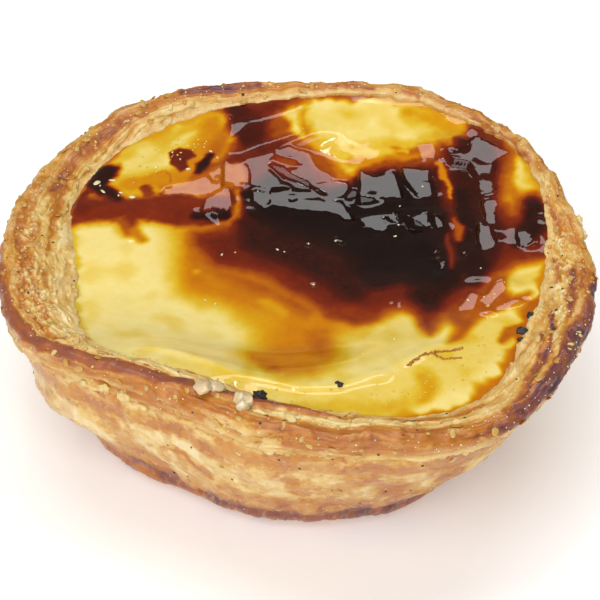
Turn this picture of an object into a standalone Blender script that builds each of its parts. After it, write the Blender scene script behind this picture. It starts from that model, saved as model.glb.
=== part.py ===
"""Portuguese custard tart: a hand-pressed puff pastry shell and the custard baked in it.

Two solids, in metres, +Z up. The tart stands on the flat underside of its shell. The
origin lies at that level, under the middle of the rim's footprint. Angles run
anticlockwise from +X as seen from above, and the front of the tart faces -Y.
"""

import math

import bmesh
import bpy

MM = 0.001

# ---- Driving sizes of the pastry shell
TART_HEIGHT = 26.2 * MM  # mean height of the rim's crest
RIM_RADIUS = 39.0 * MM  # mean radius of the rim's outer edge
FOOT_RADIUS = 27.0 * MM  # mean radius of the wall just above its rounded heel
HEEL_WIDTH = 8.0 * MM  # how far the heel curls in under the wall
HEEL_HEIGHT = 4.0 * MM
WALL_BELLY = 1.0 * MM  # how far the wall bulges beyond a straight cone
WALL_THICKNESS = 3.6 * MM
FLOOR_THICKNESS = 3.2 * MM
RIM_WIDTH = 5.8 * MM  # mean width of the pastry seen from above
RIM_ROUNDING = 1.3 * MM  # height of the rounded outer edge
CREST_INSET = 1.2 * MM  # how far inside the outer edge the crest lies
RIM_SLOPE = 0.30  # fall of the rim towards the custard, per metre of its width
SLOPE_POWER = 1.5  # how the slope steepens towards the custard

# ---- Hand shaping: (bumps in one turn, size, angle of one bump in degrees)
RIM_OUT_OF_ROUND = (
    (2, 2.3 * MM, -45),
    (3, 1.0 * MM, -58),
    (4, 1.0 * MM, 29),
    (5, 0.6 * MM, -17),
    (7, 0.3 * MM, 0),
    (8, 0.25 * MM, -15),
)
RIM_UPS_AND_DOWNS = (
    (1, 0.75 * MM, 38),
    (2, 1.2 * MM, 60),
    (3, 0.2 * MM, 40),
    (7, 0.2 * MM, 20),
)
RIM_WIDTH_CHANGES = (
    (1, 2.5 * MM, 233),
    (2, 1.7 * MM, 169),
    (3, 0.75 * MM, 83),
    (4, 0.55 * MM, 78),
    (5, 0.60 * MM, 48),
)
OVAL_LEFT_AT_FOOT = 0.45  # share of the rim's unevenness that reaches the foot

FOOT_SHIFT = (-2.2 * MM, -0.5 * MM)  # the foot stands a little off the rim's middle

# ---- Swellings and hollows of the outer wall:
# (angle in degrees, height, size outwards, spread round the wall in degrees, spread up it)
WALL_SWELLINGS = (
    (-42, 9.0 * MM, 1.1 * MM, 16, 5.0 * MM),
    (-30, 17.0 * MM, -1.4 * MM, 14, 4.5 * MM),
    (203, 11.0 * MM, 1.5 * MM, 16, 4.5 * MM),
    (222, 8.0 * MM, -1.3 * MM, 14, 5.0 * MM),
)

SWELLING_START = 0.15  # share of a swelling that is left at the heel

# ---- Driving sizes of the custard
GAP = 0.35 * MM  # clearance between the custard and its shell
EDGE_SINK = 0.3 * MM  # how far the custard's edge lies below the pastry beside it
MIDDLE_DROP = 2.0 * MM  # level of the unsunk custard below the mean crest
POOL_MIDDLE = (-3.0 * MM, -6.5 * MM)
POOL_REACH = (26.0 * MM, 19.5 * MM)  # half length and half width of the sunken pool
POOL_DEPTH = 4.6 * MM
POOL_FLAT = 0.30  # share of the pool's reach that is its flat bottom
POOL_BACK_REACH = 40.0 * MM  # behind the pool the skin sags to one long slope
POOL_BACK_FLAT = 0.48
POOL_BACK_SQUARENESS = 1.0  # added to the power 2 that makes the pool's outline an ellipse
BACK_BLEND = 12.0 * MM  # distance behind the pool's middle at which the long slope is full
BACK_SIDE = (-18.0 * MM, -6.0 * MM)  # left of the first it is absent, right of the second full
DISH_POWER = 3  # how late the unsunk custard rises to its edge
FOLD_FADE = 0.85  # share of the way out at which the folds start to die out

# ---- Folds of the custard's skin: (height, half width, crest points (x, y)), in millimetres
SKIN_FOLDS = (
    (1.5, 2.8, ((-21.5, 13.0), (-15.5, 12.6), (-9.5, 16.0))),
    (1.0, 2.6, ((-10.0, 22.0), (-5.0, 26.0), (2.5, 29.2))),
    (1.3, 2.6, ((-4.0, 23.7), (2.5, 20.9), (9.3, 16.4))),
    (1.6, 2.8, ((23.5, 27.5), (26.0, 21.5), (25.3, 11.5), (23.0, -3.0))),
    (1.0, 3.6, ((8.0, 26.4), (15.0, 25.5))),
    (0.9, 2.4, ((-12.9, -20.8), (-5.0, -23.0), (1.5, -26.0), (8.0, -25.2))),
    (0.9, 2.4, ((12.6, -22.3), (17.5, -15.5), (20.4, -9.1), (26.0, -2.8))),
)

# ---- How finely the two solids are divided
TURN_STEPS = 96
HEEL_STEPS = 3
WALL_STEPS = 8
CREST_STEPS = 3
SLOPE_STEPS = 4
INNER_STEPS = 5
TOP_STEPS = 15

SMOOTH_ANGLE = 50  # edges sharper than this many degrees stay sharp

PASTRY_COLOUR = (0.72, 0.42, 0.16)
PASTRY_ROUGHNESS = 0.6
CUSTARD_COLOUR = (0.80, 0.42, 0.05)
CUSTARD_ROUGHNESS = 0.25


def wave(angle, waves):
    """The sum of slow waves round the tart."""
    return sum(
        size * math.cos(bumps * (angle - math.radians(peak)))
        for bumps, size, peak in waves
    )


def smooth_step(start, end, value):
    share = min(max((value - start) / (end - start), 0.0), 1.0)
    return share * share * (3 - 2 * share)


# ---------------------------------------------------------------- the pastry shell
def rim_radius(angle):
    return RIM_RADIUS + wave(angle, RIM_OUT_OF_ROUND)


def rim_height(angle):
    return TART_HEIGHT + wave(angle, RIM_UPS_AND_DOWNS)


def rim_width(angle):
    return RIM_WIDTH + wave(angle, RIM_WIDTH_CHANGES)


def edge_height(angle):
    """Height at which the outer wall turns into the rounded rim."""
    return rim_height(angle) - RIM_ROUNDING


def swelling(angle, height):
    """What the wall's swellings and hollows add to its radius."""
    total = 0.0
    for middle, level, size, spread, rise in WALL_SWELLINGS:
        turn = math.remainder(angle - math.radians(middle), math.tau)
        total += size * math.exp(
            -((turn / math.radians(spread)) ** 2) - ((height - level) / rise) ** 2
        )
    return total


def wall_radius(angle, height):
    """Radius of the outer wall, from the ground up to the rim's outer edge."""
    share = max(height - HEEL_HEIGHT, 0.0) / (edge_height(angle) - HEEL_HEIGHT)
    cone = FOOT_RADIUS + (RIM_RADIUS - FOOT_RADIUS) * share
    belly = WALL_BELLY * math.sin(math.pi * share)
    uneven = OVAL_LEFT_AT_FOOT + (1 - OVAL_LEFT_AT_FOOT) * share
    radius = cone + belly + uneven * wave(angle, RIM_OUT_OF_ROUND)
    shift = FOOT_SHIFT[0] * math.cos(angle) + FOOT_SHIFT[1] * math.sin(angle)
    radius += (1 - share) * shift
    radius += swelling(angle, height) * math.sin(math.pi * min(share + SWELLING_START, 1.0))
    below_heel = max(HEEL_HEIGHT - height, 0.0) / HEEL_HEIGHT
    return radius - HEEL_WIDTH * (1 - math.sqrt(1 - below_heel**2))


def contact(angle):
    """(radius, height) of the line where the rim's slope meets the custard."""
    slope_width = rim_width(angle) - CREST_INSET
    return (
        rim_radius(angle) - rim_width(angle),
        rim_height(angle) - RIM_SLOPE * slope_width,
    )


def inner_wall(angle):
    """(radius, height) down the inside of the shell, from under the contact to the floor."""
    top_radius, top = contact(angle)
    points = []
    for step in range(1, INNER_STEPS + 1):
        height = top + (FLOOR_THICKNESS - top) * step / INNER_STEPS
        radius = min(top_radius, wall_radius(angle, height) - WALL_THICKNESS)
        points.append((radius, height))
    return points


def shell_section(angle):
    """(radius, height) round the shell's section, from its underside to its inner floor."""
    points = []
    for step in range(HEEL_STEPS):
        height = HEEL_HEIGHT * (1 - math.cos(math.pi / 2 * step / HEEL_STEPS))
        points.append((wall_radius(angle, height), height))
    edge = edge_height(angle)
    for step in range(WALL_STEPS + 1):
        height = HEEL_HEIGHT + (edge - HEEL_HEIGHT) * step / WALL_STEPS
        points.append((wall_radius(angle, height), height))
    crest_radius = rim_radius(angle) - CREST_INSET
    for step in range(1, CREST_STEPS + 1):
        turn = math.pi / 2 * step / CREST_STEPS
        points.append(
            (
                crest_radius + CREST_INSET * math.cos(turn),
                edge + RIM_ROUNDING * math.sin(turn),
            )
        )
    contact_radius, contact_height = contact(angle)
    crest = rim_height(angle)
    for step in range(1, SLOPE_STEPS + 1):
        share = step / SLOPE_STEPS
        points.append(
            (
                crest_radius + (contact_radius - crest_radius) * share,
                crest + (contact_height - crest) * share**SLOPE_POWER,
            )
        )
    return points + inner_wall(angle)


# ---------------------------------------------------------------- the custard
def distance_to_line(x, y, points):
    """Distance in the plan from (x, y) to a line through the points."""
    nearest = math.inf
    for (x0, y0), (x1, y1) in zip(points, points[1:]):
        along_x = x1 - x0
        along_y = y1 - y0
        length_squared = along_x**2 + along_y**2
        share = ((x - x0) * along_x + (y - y0) * along_y) / length_squared
        share = min(max(share, 0.0), 1.0)
        nearest = min(
            nearest, math.hypot(x - x0 - share * along_x, y - y0 - share * along_y)
        )
    return nearest


def fold_height(x, y):
    """What the folds of the skin add to the custard's height."""
    return sum(
        height * MM * math.exp(-((distance_to_line(x / MM, y / MM, line) / half_width) ** 2))
        for height, half_width, line in SKIN_FOLDS
    )


def pool_sink(x, y):
    """How far the custard has sunk here since it left the oven."""
    behind = smooth_step(0.0, BACK_BLEND, y - POOL_MIDDLE[1]) * smooth_step(*BACK_SIDE, x)
    half_width = POOL_REACH[1] + (POOL_BACK_REACH - POOL_REACH[1]) * behind
    flat = POOL_FLAT + (POOL_BACK_FLAT - POOL_FLAT) * behind
    power = 2 + POOL_BACK_SQUARENESS * behind
    reach_x = abs(x - POOL_MIDDLE[0]) / POOL_REACH[0]
    reach_y = abs(y - POOL_MIDDLE[1]) / half_width
    reach = (reach_x**power + reach_y**power) ** (1 / power)
    return POOL_DEPTH * (1 - smooth_step(flat, 1.0, reach))


def custard_top(angle, share):
    """Point of the custard's surface, at a share of the way from its middle to its edge."""
    edge_radius, contact_height = contact(angle)
    radius = (edge_radius - GAP) * share
    x = radius * math.cos(angle)
    y = radius * math.sin(angle)
    edge = contact_height - EDGE_SINK
    middle = TART_HEIGHT - MIDDLE_DROP
    level = middle + (edge - middle) * share**DISH_POWER
    inside = 1 - smooth_step(FOLD_FADE, 1.0, share)
    return x, y, level - pool_sink(x, y) + fold_height(x, y) * inside


def custard_section(angle):
    """(radius, height) up the custard's side, from its underside to just below its edge."""
    side = inner_wall(angle)
    floor_radius, floor_height = side[-1]
    points = [(floor_radius - GAP, floor_height + GAP)]
    for radius, height in reversed(side[:-1]):
        points.append((radius - GAP, height))
    return points


# ---------------------------------------------------------------- meshes
def turn_angles():
    return [math.tau * step / TURN_STEPS for step in range(TURN_STEPS)]


def rings_of(section):
    """One ring of points round the tart for each point of its section."""
    columns = [section(angle) for angle in turn_angles()]
    rings = []
    for level in zip(*columns):
        rings.append(
            [
                (radius * math.cos(angle), radius * math.sin(angle), height)
                for angle, (radius, height) in zip(turn_angles(), level)
            ]
        )
    return rings


def closed_mesh(name, rings, top_point=None):
    """A mesh through the rings, closed flat below, and above by a flat face or a point."""
    mesh_builder = bmesh.new()
    loops = [[mesh_builder.verts.new(point) for point in ring] for ring in rings]
    for lower, upper in zip(loops, loops[1:]):
        for step in range(TURN_STEPS):
            after = (step + 1) % TURN_STEPS
            mesh_builder.faces.new((lower[step], lower[after], upper[after], upper[step]))
    mesh_builder.faces.new(reversed(loops[0]))
    if top_point is None:
        mesh_builder.faces.new(loops[-1])
    else:
        pole = mesh_builder.verts.new(top_point)
        for step in range(TURN_STEPS):
            after = (step + 1) % TURN_STEPS
            mesh_builder.faces.new((loops[-1][step], loops[-1][after], pole))
    mesh = bpy.data.meshes.new(name)
    mesh_builder.to_mesh(mesh)
    mesh_builder.free()
    return mesh


def footprint_middle():
    """The middle of the rim's footprint, which the origin lies under."""
    corners = [
        (rim_radius(angle) * math.cos(angle), rim_radius(angle) * math.sin(angle))
        for angle in turn_angles()
    ]
    xs, ys = zip(*corners)
    return (min(xs) + max(xs)) / 2, (min(ys) + max(ys)) / 2


def food_material(name, colour, roughness):
    material = bpy.data.materials.new(name)
    material.use_nodes = True
    surface = material.node_tree.nodes["Principled BSDF"]
    surface.inputs["Base Color"].default_value = (*colour, 1.0)
    surface.inputs["Roughness"].default_value = roughness
    surface.inputs["Metallic"].default_value = 0.0
    return material


def add_object(mesh, material):
    obj = bpy.data.objects.new(mesh.name, mesh)
    mesh.materials.append(material)
    mesh.shade_smooth()
    mesh.set_sharp_from_angle(angle=math.radians(SMOOTH_ANGLE))
    middle_x, middle_y = footprint_middle()
    obj.location = (-middle_x, -middle_y, 0.0)
    bpy.context.scene.collection.objects.link(obj)
    return obj


def build_shell():
    mesh = closed_mesh("pastry_shell", rings_of(shell_section))
    return add_object(mesh, food_material("baked puff pastry", PASTRY_COLOUR, PASTRY_ROUGHNESS))


def build_custard():
    rings = rings_of(custard_section)
    for step in range(TOP_STEPS):
        share = 1 - step / TOP_STEPS
        rings.append([custard_top(angle, share) for angle in turn_angles()])
    mesh = closed_mesh("custard_filling", rings, top_point=custard_top(0.0, 0.0))
    return add_object(mesh, food_material("baked custard", CUSTARD_COLOUR, CUSTARD_ROUGHNESS))


for leftover in list(bpy.data.objects):
    bpy.data.objects.remove(leftover)
build_shell()
build_custard()
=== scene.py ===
# %% [markdown]
# # A custard tart, dressed around its solids
# The tart is two solids: a hand-pressed puff pastry shell and the custard baked in it.
# This notebook gives both their looks. It repeats the rule that shapes the solids, on a
# much finer grid, and then adds what an oven adds: lifted leaves of dough, browning,
# blisters, and the wrinkled caramel skin.

# %% Load the solids as a fixed frame
import itertools
import math

import bmesh
import bpy
import numpy as np
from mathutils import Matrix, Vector


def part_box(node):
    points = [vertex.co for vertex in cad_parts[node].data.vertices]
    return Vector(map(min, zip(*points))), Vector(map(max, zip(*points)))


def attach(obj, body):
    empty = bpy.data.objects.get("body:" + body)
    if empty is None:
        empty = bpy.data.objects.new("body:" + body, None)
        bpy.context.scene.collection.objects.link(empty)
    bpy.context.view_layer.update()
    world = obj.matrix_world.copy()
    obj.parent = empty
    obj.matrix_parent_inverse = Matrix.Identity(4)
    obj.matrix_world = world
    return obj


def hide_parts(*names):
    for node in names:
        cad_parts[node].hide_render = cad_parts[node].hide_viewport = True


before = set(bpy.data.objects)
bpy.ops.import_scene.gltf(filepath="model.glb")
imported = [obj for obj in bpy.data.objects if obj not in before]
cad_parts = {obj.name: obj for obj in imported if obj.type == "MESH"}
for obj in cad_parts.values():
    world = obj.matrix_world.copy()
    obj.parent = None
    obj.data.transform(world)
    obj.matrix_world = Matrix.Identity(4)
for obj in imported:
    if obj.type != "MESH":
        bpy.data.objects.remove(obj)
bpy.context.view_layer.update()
MM = 0.001
print("solids:", sorted(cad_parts))

# %% [markdown]
# ## The rule behind the form
# A hand-pressed rim is a circle disturbed by a few slow waves. The same waves shape the
# solids, so each fine surface lies on its solid without any fitting. All sizes here are
# in millimetres, and angles run anticlockwise from +X.

# %% Driving sizes
TART_HEIGHT = 26.2
RIM_RADIUS = 39.0
FOOT_RADIUS = 27.0
HEEL_WIDTH = 8.0
HEEL_HEIGHT = 4.0
WALL_BELLY = 1.0
FLOOR_THICKNESS = 3.2
RIM_WIDTH = 5.8
RIM_ROUNDING = 1.3
CREST_INSET = 1.2
RIM_SLOPE = 0.30
MIDDLE_DROP = 2.0
POOL_MIDDLE = (-3.0, -6.5)
POOL_REACH = (26.0, 19.5)
POOL_DEPTH = 4.6
POOL_FLAT = 0.30
POOL_BACK_REACH = 40.0
POOL_BACK_FLAT = 0.48
POOL_BACK_SQUARENESS = 1.0
BACK_BLEND = 12.0
BACK_SIDE = (-18.0, -6.0)
DISH_POWER = 3
SLOPE_POWER = 1.5
SWELLING_START = 0.15
FOOT_SHIFT = (-2.2, -0.5)
OVAL_LEFT_AT_FOOT = 0.45
RIM_OUT_OF_ROUND = (
    (2, 2.3, -45), (3, 1.0, -58), (4, 1.0, 29), (5, 0.6, -17), (7, 0.3, 0), (8, 0.25, -15),
)
RIM_UPS_AND_DOWNS = ((1, 0.75, 38), (2, 1.2, 60), (3, 0.2, 40), (7, 0.2, 20))
RIM_WIDTH_CHANGES = ((1, 2.5, 233), (2, 1.7, 169), (3, 0.75, 83), (4, 0.55, 78), (5, 0.60, 48))
WALL_SWELLINGS = (
    (-42, 9.0, 1.1, 16, 5.0), (-30, 17.0, -1.4, 14, 4.5),
    (203, 11.0, 1.5, 16, 4.5), (222, 8.0, -1.3, 14, 5.0),
)
print("about", TART_HEIGHT, "mm high and", 2 * RIM_RADIUS, "mm wide before the waves")


# %% The waves, for whole arrays of angles at once
def wave(angle, waves):
    return sum(size * np.cos(bumps * (angle - math.radians(peak))) for bumps, size, peak in waves)


def smooth_step(start, end, value):
    share = np.clip((value - start) / (end - start), 0.0, 1.0)
    return share * share * (3 - 2 * share)


def turned_away(angle, degrees):
    """How far an angle has turned from a direction in degrees, between -pi and pi."""
    return (angle - math.radians(degrees) + math.pi) % math.tau - math.pi


def rim_radius(angle):
    return RIM_RADIUS + wave(angle, RIM_OUT_OF_ROUND)


def rim_height(angle):
    return TART_HEIGHT + wave(angle, RIM_UPS_AND_DOWNS)


def rim_width(angle):
    return RIM_WIDTH + wave(angle, RIM_WIDTH_CHANGES)


def edge_height(angle):
    return rim_height(angle) - RIM_ROUNDING


print("rim height at right, back, left and front:", rim_height(np.radians([0, 90, 180, 270])).round(1))

# %% The line of contact, and the wall
def contact(angle):
    """(radius, height) of the line where the pastry meets the custard."""
    slope_width = rim_width(angle) - CREST_INSET
    return rim_radius(angle) - rim_width(angle), rim_height(angle) - RIM_SLOPE * slope_width


def swelling(angle, height):
    total = 0.0
    for middle, level, size, spread, rise in WALL_SWELLINGS:
        turn = turned_away(angle, middle)
        total = total + size * np.exp(
            -((turn / math.radians(spread)) ** 2) - ((height - level) / rise) ** 2
        )
    return total


def wall_radius(angle, height):
    share = np.maximum(height - HEEL_HEIGHT, 0.0) / (edge_height(angle) - HEEL_HEIGHT)
    uneven = OVAL_LEFT_AT_FOOT + (1 - OVAL_LEFT_AT_FOOT) * share
    radius = FOOT_RADIUS + (RIM_RADIUS - FOOT_RADIUS) * share + WALL_BELLY * np.sin(math.pi * share)
    radius = radius + uneven * wave(angle, RIM_OUT_OF_ROUND)
    shift = FOOT_SHIFT[0] * np.cos(angle) + FOOT_SHIFT[1] * np.sin(angle)
    radius = radius + (1 - share) * shift
    radius = radius + swelling(angle, height) * np.sin(math.pi * np.minimum(share + SWELLING_START, 1.0))
    below_heel = np.maximum(HEEL_HEIGHT - height, 0.0) / HEEL_HEIGHT
    return radius - HEEL_WIDTH * (1 - np.sqrt(1 - below_heel**2))


# %% The sunken pool
def pool_sink(x, y):
    """How far the custard has sunk here since it left the oven."""
    behind = smooth_step(0.0, BACK_BLEND, y - POOL_MIDDLE[1]) * smooth_step(*BACK_SIDE, x)
    half_width = POOL_REACH[1] + (POOL_BACK_REACH - POOL_REACH[1]) * behind
    flat = POOL_FLAT + (POOL_BACK_FLAT - POOL_FLAT) * behind
    power = 2 + POOL_BACK_SQUARENESS * behind
    reach_x = np.abs(x - POOL_MIDDLE[0]) / POOL_REACH[0]
    reach_y = np.abs(y - POOL_MIDDLE[1]) / half_width
    reach = (reach_x**power + reach_y**power) ** (1 / power)
    return POOL_DEPTH * (1 - smooth_step(flat, 1.0, reach))


print("the pool's middle has sunk", pool_sink(*POOL_MIDDLE).round(2), "mm")


# %% Where the rim's middle lies in the frame
footprint_angles = np.arange(96) * math.tau / 96
footprint_x = rim_radius(footprint_angles) * np.cos(footprint_angles)
footprint_y = rim_radius(footprint_angles) * np.sin(footprint_angles)
rim_middle = np.array([
    -(footprint_x.min() + footprint_x.max()) / 2,
    -(footprint_y.min() + footprint_y.max()) / 2,
    0.0,
])
shell_low, shell_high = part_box("pastry_shell")
rule_width = footprint_x.max() - footprint_x.min()
print("shell width in the frame", round((shell_high.x - shell_low.x) / MM, 3))
print("shell width by the rule ", round(rule_width, 3))

# %% [markdown]
# ## Roughness from numbers
# Baked dough is uneven at every scale. Three number fields give that: smooth noise for
# bulges, a sum of finer and finer copies of it for crumb, and tilted facets for crumpled
# skin. They depend only on position and a seed, so each run is the same.


# %% Smooth noise on a lattice
TABLE_SIZE = 4096
WORD = 0xFFFFFFFF  # keeps a product to 32 bits


def lattice_hash(cells, seed):
    """A row of the tables for each lattice cell, mixed by large odd numbers."""
    mixed = cells[:, 0] * 73856093 ^ cells[:, 1] * 19349663 ^ cells[:, 2] * 83492791
    mixed = (mixed + seed * 2654435761) & WORD
    mixed = ((mixed ^ (mixed >> 15)) * 2246822519) & WORD
    return (mixed ^ (mixed >> 13)) % TABLE_SIZE


direction_table = np.random.default_rng(7).normal(size=(TABLE_SIZE, 3))
direction_table /= np.linalg.norm(direction_table, axis=1)[:, None]
jitter_table = np.random.default_rng(8).random((TABLE_SIZE, 3))


def noise(points, seed=0):
    """Smooth noise, about -1 to 1, at each row of points. One lattice cell is one unit."""
    cells = np.floor(points).astype(np.int64)
    part = points - cells
    fade = part**3 * (part * (part * 6 - 15) + 10)
    total = np.zeros(len(points))
    for corner in itertools.product((0, 1), repeat=3):
        corner = np.array(corner)
        slopes = direction_table[lattice_hash(cells + corner, seed)]
        weight = np.where(corner, fade, 1 - fade).prod(axis=1)
        total += weight * (slopes * (part - corner)).sum(axis=1)
    return total * 1.7


def crumb_noise(points, seed=0, octaves=4):
    """Smooth noise with finer and weaker copies of itself on top."""
    total = np.zeros(len(points))
    for octave in range(octaves):
        total += noise(points * 2.1**octave, seed + octave) * 0.55**octave
    return total


def facets(x, y, seed, sharpness):
    """Height of a sheet creased into tilted flat facets. One facet is about one unit wide."""
    cell_x, cell_y = np.floor(x).astype(np.int64), np.floor(y).astype(np.int64)
    total = np.zeros(len(x))
    weights = np.zeros(len(x))
    for step_x, step_y in itertools.product((-1, 0, 1), repeat=2):
        cell = np.stack([cell_x + step_x, cell_y + step_y, 0 * cell_x], 1)
        hashed = lattice_hash(cell, seed)
        away_x = x - cell[:, 0] - jitter_table[hashed, 0]
        away_y = y - cell[:, 1] - jitter_table[hashed, 1]
        weight = np.exp(-sharpness * (away_x**2 + away_y**2))
        tilt = direction_table[hashed]
        total += weight * (tilt[:, 0] * away_x + tilt[:, 1] * away_y + 0.5 * tilt[:, 2])
        weights += weight
    return total / weights


print("noise check:", noise(np.array([[0.3, 0.6, 0.9]]))[0].round(4))

# %% [markdown]
# ## Painting with strokes
# Browning and folds follow the heat and the baker's thumbs, so no formula gives their
# places. They are laid on one by one, like a decorator's strokes: a few points with a half
# width each. One function turns a stroke into a soft mask over any set of points.


# %% A stroke, as a distance and as a mask
def stroke_distance(x, y, path):
    """Distance outside a stroke of changing half width. It is negative inside."""
    result = np.full(len(x), 1e9)
    if len(path) == 1:
        path = path * 2
    for (x0, y0, w0), (x1, y1, w1) in zip(path, path[1:]):
        along_x, along_y = x1 - x0, y1 - y0
        length_squared = max(along_x**2 + along_y**2, 1e-9)
        share = np.clip(((x - x0) * along_x + (y - y0) * along_y) / length_squared, 0, 1)
        gap = np.hypot(x - x0 - share * along_x, y - y0 - share * along_y)
        result = np.minimum(result, gap - (w0 + (w1 - w0) * share))
    return result


def region_distance(x, y, outline):
    """Distance outside a closed outline. It is negative inside."""
    nearest = np.full(len(x), 1e9)
    inside = np.zeros(len(x), dtype=bool)
    for (x0, y0), (x1, y1) in zip(outline, outline[1:] + outline[:1]):
        along_x, along_y = x1 - x0, y1 - y0
        share = ((x - x0) * along_x + (y - y0) * along_y) / (along_x**2 + along_y**2)
        share = np.clip(share, 0, 1)
        nearest = np.minimum(nearest, np.hypot(x - x0 - share * along_x, y - y0 - share * along_y))
        if y1 != y0:
            crossing = ((y0 > y) != (y1 > y)) & (x < x0 + (y - y0) * along_x / along_y)
            inside ^= crossing
    return np.where(inside, -nearest, nearest)


def shape_mask(x, y, shape, softness, grow=0.0):
    """1 inside a stroke or an outline, 0 outside, with a soft edge."""
    distance = stroke_distance if len(shape[0]) == 3 else region_distance
    return 1 - smooth_step(-softness, softness, distance(x, y, shape) - grow)


def paint(level, x, y, layers):
    """Lays shapes over a base level, in order: (new level, softness, shape, how far to grow it)."""
    for new_level, softness, shape, *grow in layers:
        mask = shape_mask(x, y, shape, softness, *grow)
        level = level + (new_level - level) * mask
    return level


# %% [markdown]
# ## From grids to meshes
# The wall, the rim and the custard are all grids of points bent into shape. A grid that
# closes on itself needs no seam, and its normals come from its own neighbours, so relief
# can be pushed straight out of the surface.


# %% Grid helpers
def grid_normals(points):
    """Unit normals of a grid whose columns close into a ring. points: (rows, columns, 3)."""
    across = np.gradient(points, axis=0)
    around = np.roll(points, -1, axis=1) - np.roll(points, 1, axis=1)
    normals = np.cross(around, across)
    length = np.linalg.norm(normals, axis=2, keepdims=True)
    return normals / np.maximum(length, 1e-12)


def bent_grid(rows, angles):
    """Radii, heights and points of a grid from its rows of (radii, heights) at the angles."""
    radii = np.array([row[0] for row in rows])
    heights = np.array([row[1] for row in rows])
    return radii, heights, np.stack([radii * np.cos(angles), radii * np.sin(angles), heights], axis=2)


def ring_faces(rows, columns, closed=False):
    lower = np.arange(rows if closed else rows - 1)
    upper = (lower + 1) % rows
    step = np.arange(columns)
    after = (step + 1) % columns
    return np.stack([
        (lower[:, None] * columns + step), (lower[:, None] * columns + after),
        (upper[:, None] * columns + after), (upper[:, None] * columns + step),
    ], axis=2).reshape(-1, 4).tolist()


def new_piece(name, points, faces, attributes):
    """A smooth mesh object at the origin. points are in millimetres, from the rim's middle."""
    mesh = bpy.data.meshes.new(name)
    mesh.from_pydata(((points + rim_middle) * MM).tolist(), [], faces)
    for label, values in attributes.items():
        kind = "FLOAT_VECTOR" if values.ndim == 2 else "FLOAT"
        layer = mesh.attributes.new(label, kind, "POINT")
        layer.data.foreach_set("vector" if values.ndim == 2 else "value", values.astype(np.float32).ravel())
    mesh.shade_smooth()
    mesh.update()
    piece = bpy.data.objects.new(name, mesh)
    bpy.context.scene.collection.objects.link(piece)
    print(name, len(mesh.vertices), "vertices,", sum(len(f) - 2 for f in faces), "triangles")
    return piece


# %% [markdown]
# ## Relief of puff pastry
# Puff pastry is hundreds of sheets of dough. Pressed into a tin, their edges run round
# the rim like the grain of wood. The relief has two makings: thin leaves that have partly
# flaked off with ragged edges, and puffs with creases between them. Stretched along the
# rim, the puffs become strands. Slow bulges of noise come on top.


# %% Relief of the dough, in millimetres outwards
def leaf(points, seed, cover, sharpness):
    """1 where a thin leaf of dough still lies and 0 where it has flaked off."""
    return smooth_step(-sharpness, sharpness, crumb_noise(points, seed, 5) + cover)


def puffs(points, seed, octaves):
    """Puffed crumbs of uneven size: 0 in the creases between them, about 1 on top."""
    bent = points + 0.35 * np.stack([noise(points * 0.8, seed + k) for k in (1, 2, 3)], 1)
    total = np.zeros(len(points))
    for octave in range(octaves):
        total += np.abs(noise(bent * 2.05**octave, seed + 7 * octave)) * 0.5**octave
    return np.minimum(total * 1.15, 1.2)


# %% [markdown]
# ## The outer wall
# The wall was pressed against a smooth tin, so it is smoother than the rim: cream dough
# with golden blotches, a few long leaves, and a browner foot. The grid runs from the
# middle of the underside, round the heel, up the wall, and back down inside, closed.

# %% Wall grid
WALL_COLUMNS = 790
HEEL_ROWS = 12
WALL_ROWS = 100
RIM_OVERLAP = 3.2  # how far down the outside the rim's own piece reaches
RIM_TUCK = 0.5  # how far the wall steps in behind the rim's piece
INSIDE_GAP = 2.2  # from the outside of the wall to the back of its piece

angles = np.arange(WALL_COLUMNS) * math.tau / WALL_COLUMNS
wall_rows = []
for share in (0.02, 0.5, 0.8, 0.96):
    wall_rows.append((wall_radius(angles, 0 * angles) * share, 0 * angles))
for step in range(HEEL_ROWS):
    height = HEEL_HEIGHT * (1 - math.cos(math.pi / 2 * step / HEEL_ROWS)) + 0 * angles
    wall_rows.append((wall_radius(angles, height), height))
wall_top = edge_height(angles) - RIM_OVERLAP * 0.4
for step in range(WALL_ROWS):
    height = HEEL_HEIGHT + (wall_top - HEEL_HEIGHT) * step / (WALL_ROWS - 1)
    tuck = smooth_step(RIM_OVERLAP + 0.6, RIM_OVERLAP - 1.2, edge_height(angles) - height)
    wall_rows.append((wall_radius(angles, height) - RIM_TUCK * tuck, height))
shown_rows = len(wall_rows)
for share in (0.0, 0.5, 1.0):
    height = wall_top - 0.4 + (FLOOR_THICKNESS - wall_top + 0.4) * share
    wall_rows.append((wall_radius(angles, height) - INSIDE_GAP, height))
wall_rows.append((0 * angles + 1.0, FLOOR_THICKNESS + 0 * angles))

wall_points = bent_grid(wall_rows, angles)[2]
print("wall grid:", wall_points.shape)

# %% Wall relief
flat = wall_points.reshape(-1, 3)
wall_x, wall_y, wall_h = flat.T
wall_angle = np.degrees(np.arctan2(wall_y, wall_x)) % 360
wall_row = np.repeat(np.arange(len(wall_rows)), WALL_COLUMNS)
shown = (wall_row < shown_rows) & (wall_h > 0.01)
big_leaf = leaf(flat / np.array([6.0, 6.0, 8.5]), 21, 0.16, 0.05)
long_leaf = leaf(flat / np.array([4.0, 4.0, 5.5]), 27, 0.12, 0.07)
small_leaf = leaf(flat / np.array([2.2, 2.2, 3.2]), 33, -0.12, 0.10)
wall_relief = 0.13 * big_leaf + 0.08 * long_leaf + 0.06 * big_leaf * small_leaf - 0.14
wall_relief += 0.45 * noise(flat / 9.0, 41) + 0.17 * noise(flat / 3.4, 42)
wall_relief += 0.022 * crumb_noise(flat / 0.9, 43, 3)
wall_relief *= shown * smooth_step(0.0, 2.5, wall_h)
normals = grid_normals(wall_points).reshape(-1, 3)
flat = flat + normals * wall_relief[:, None]
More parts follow.
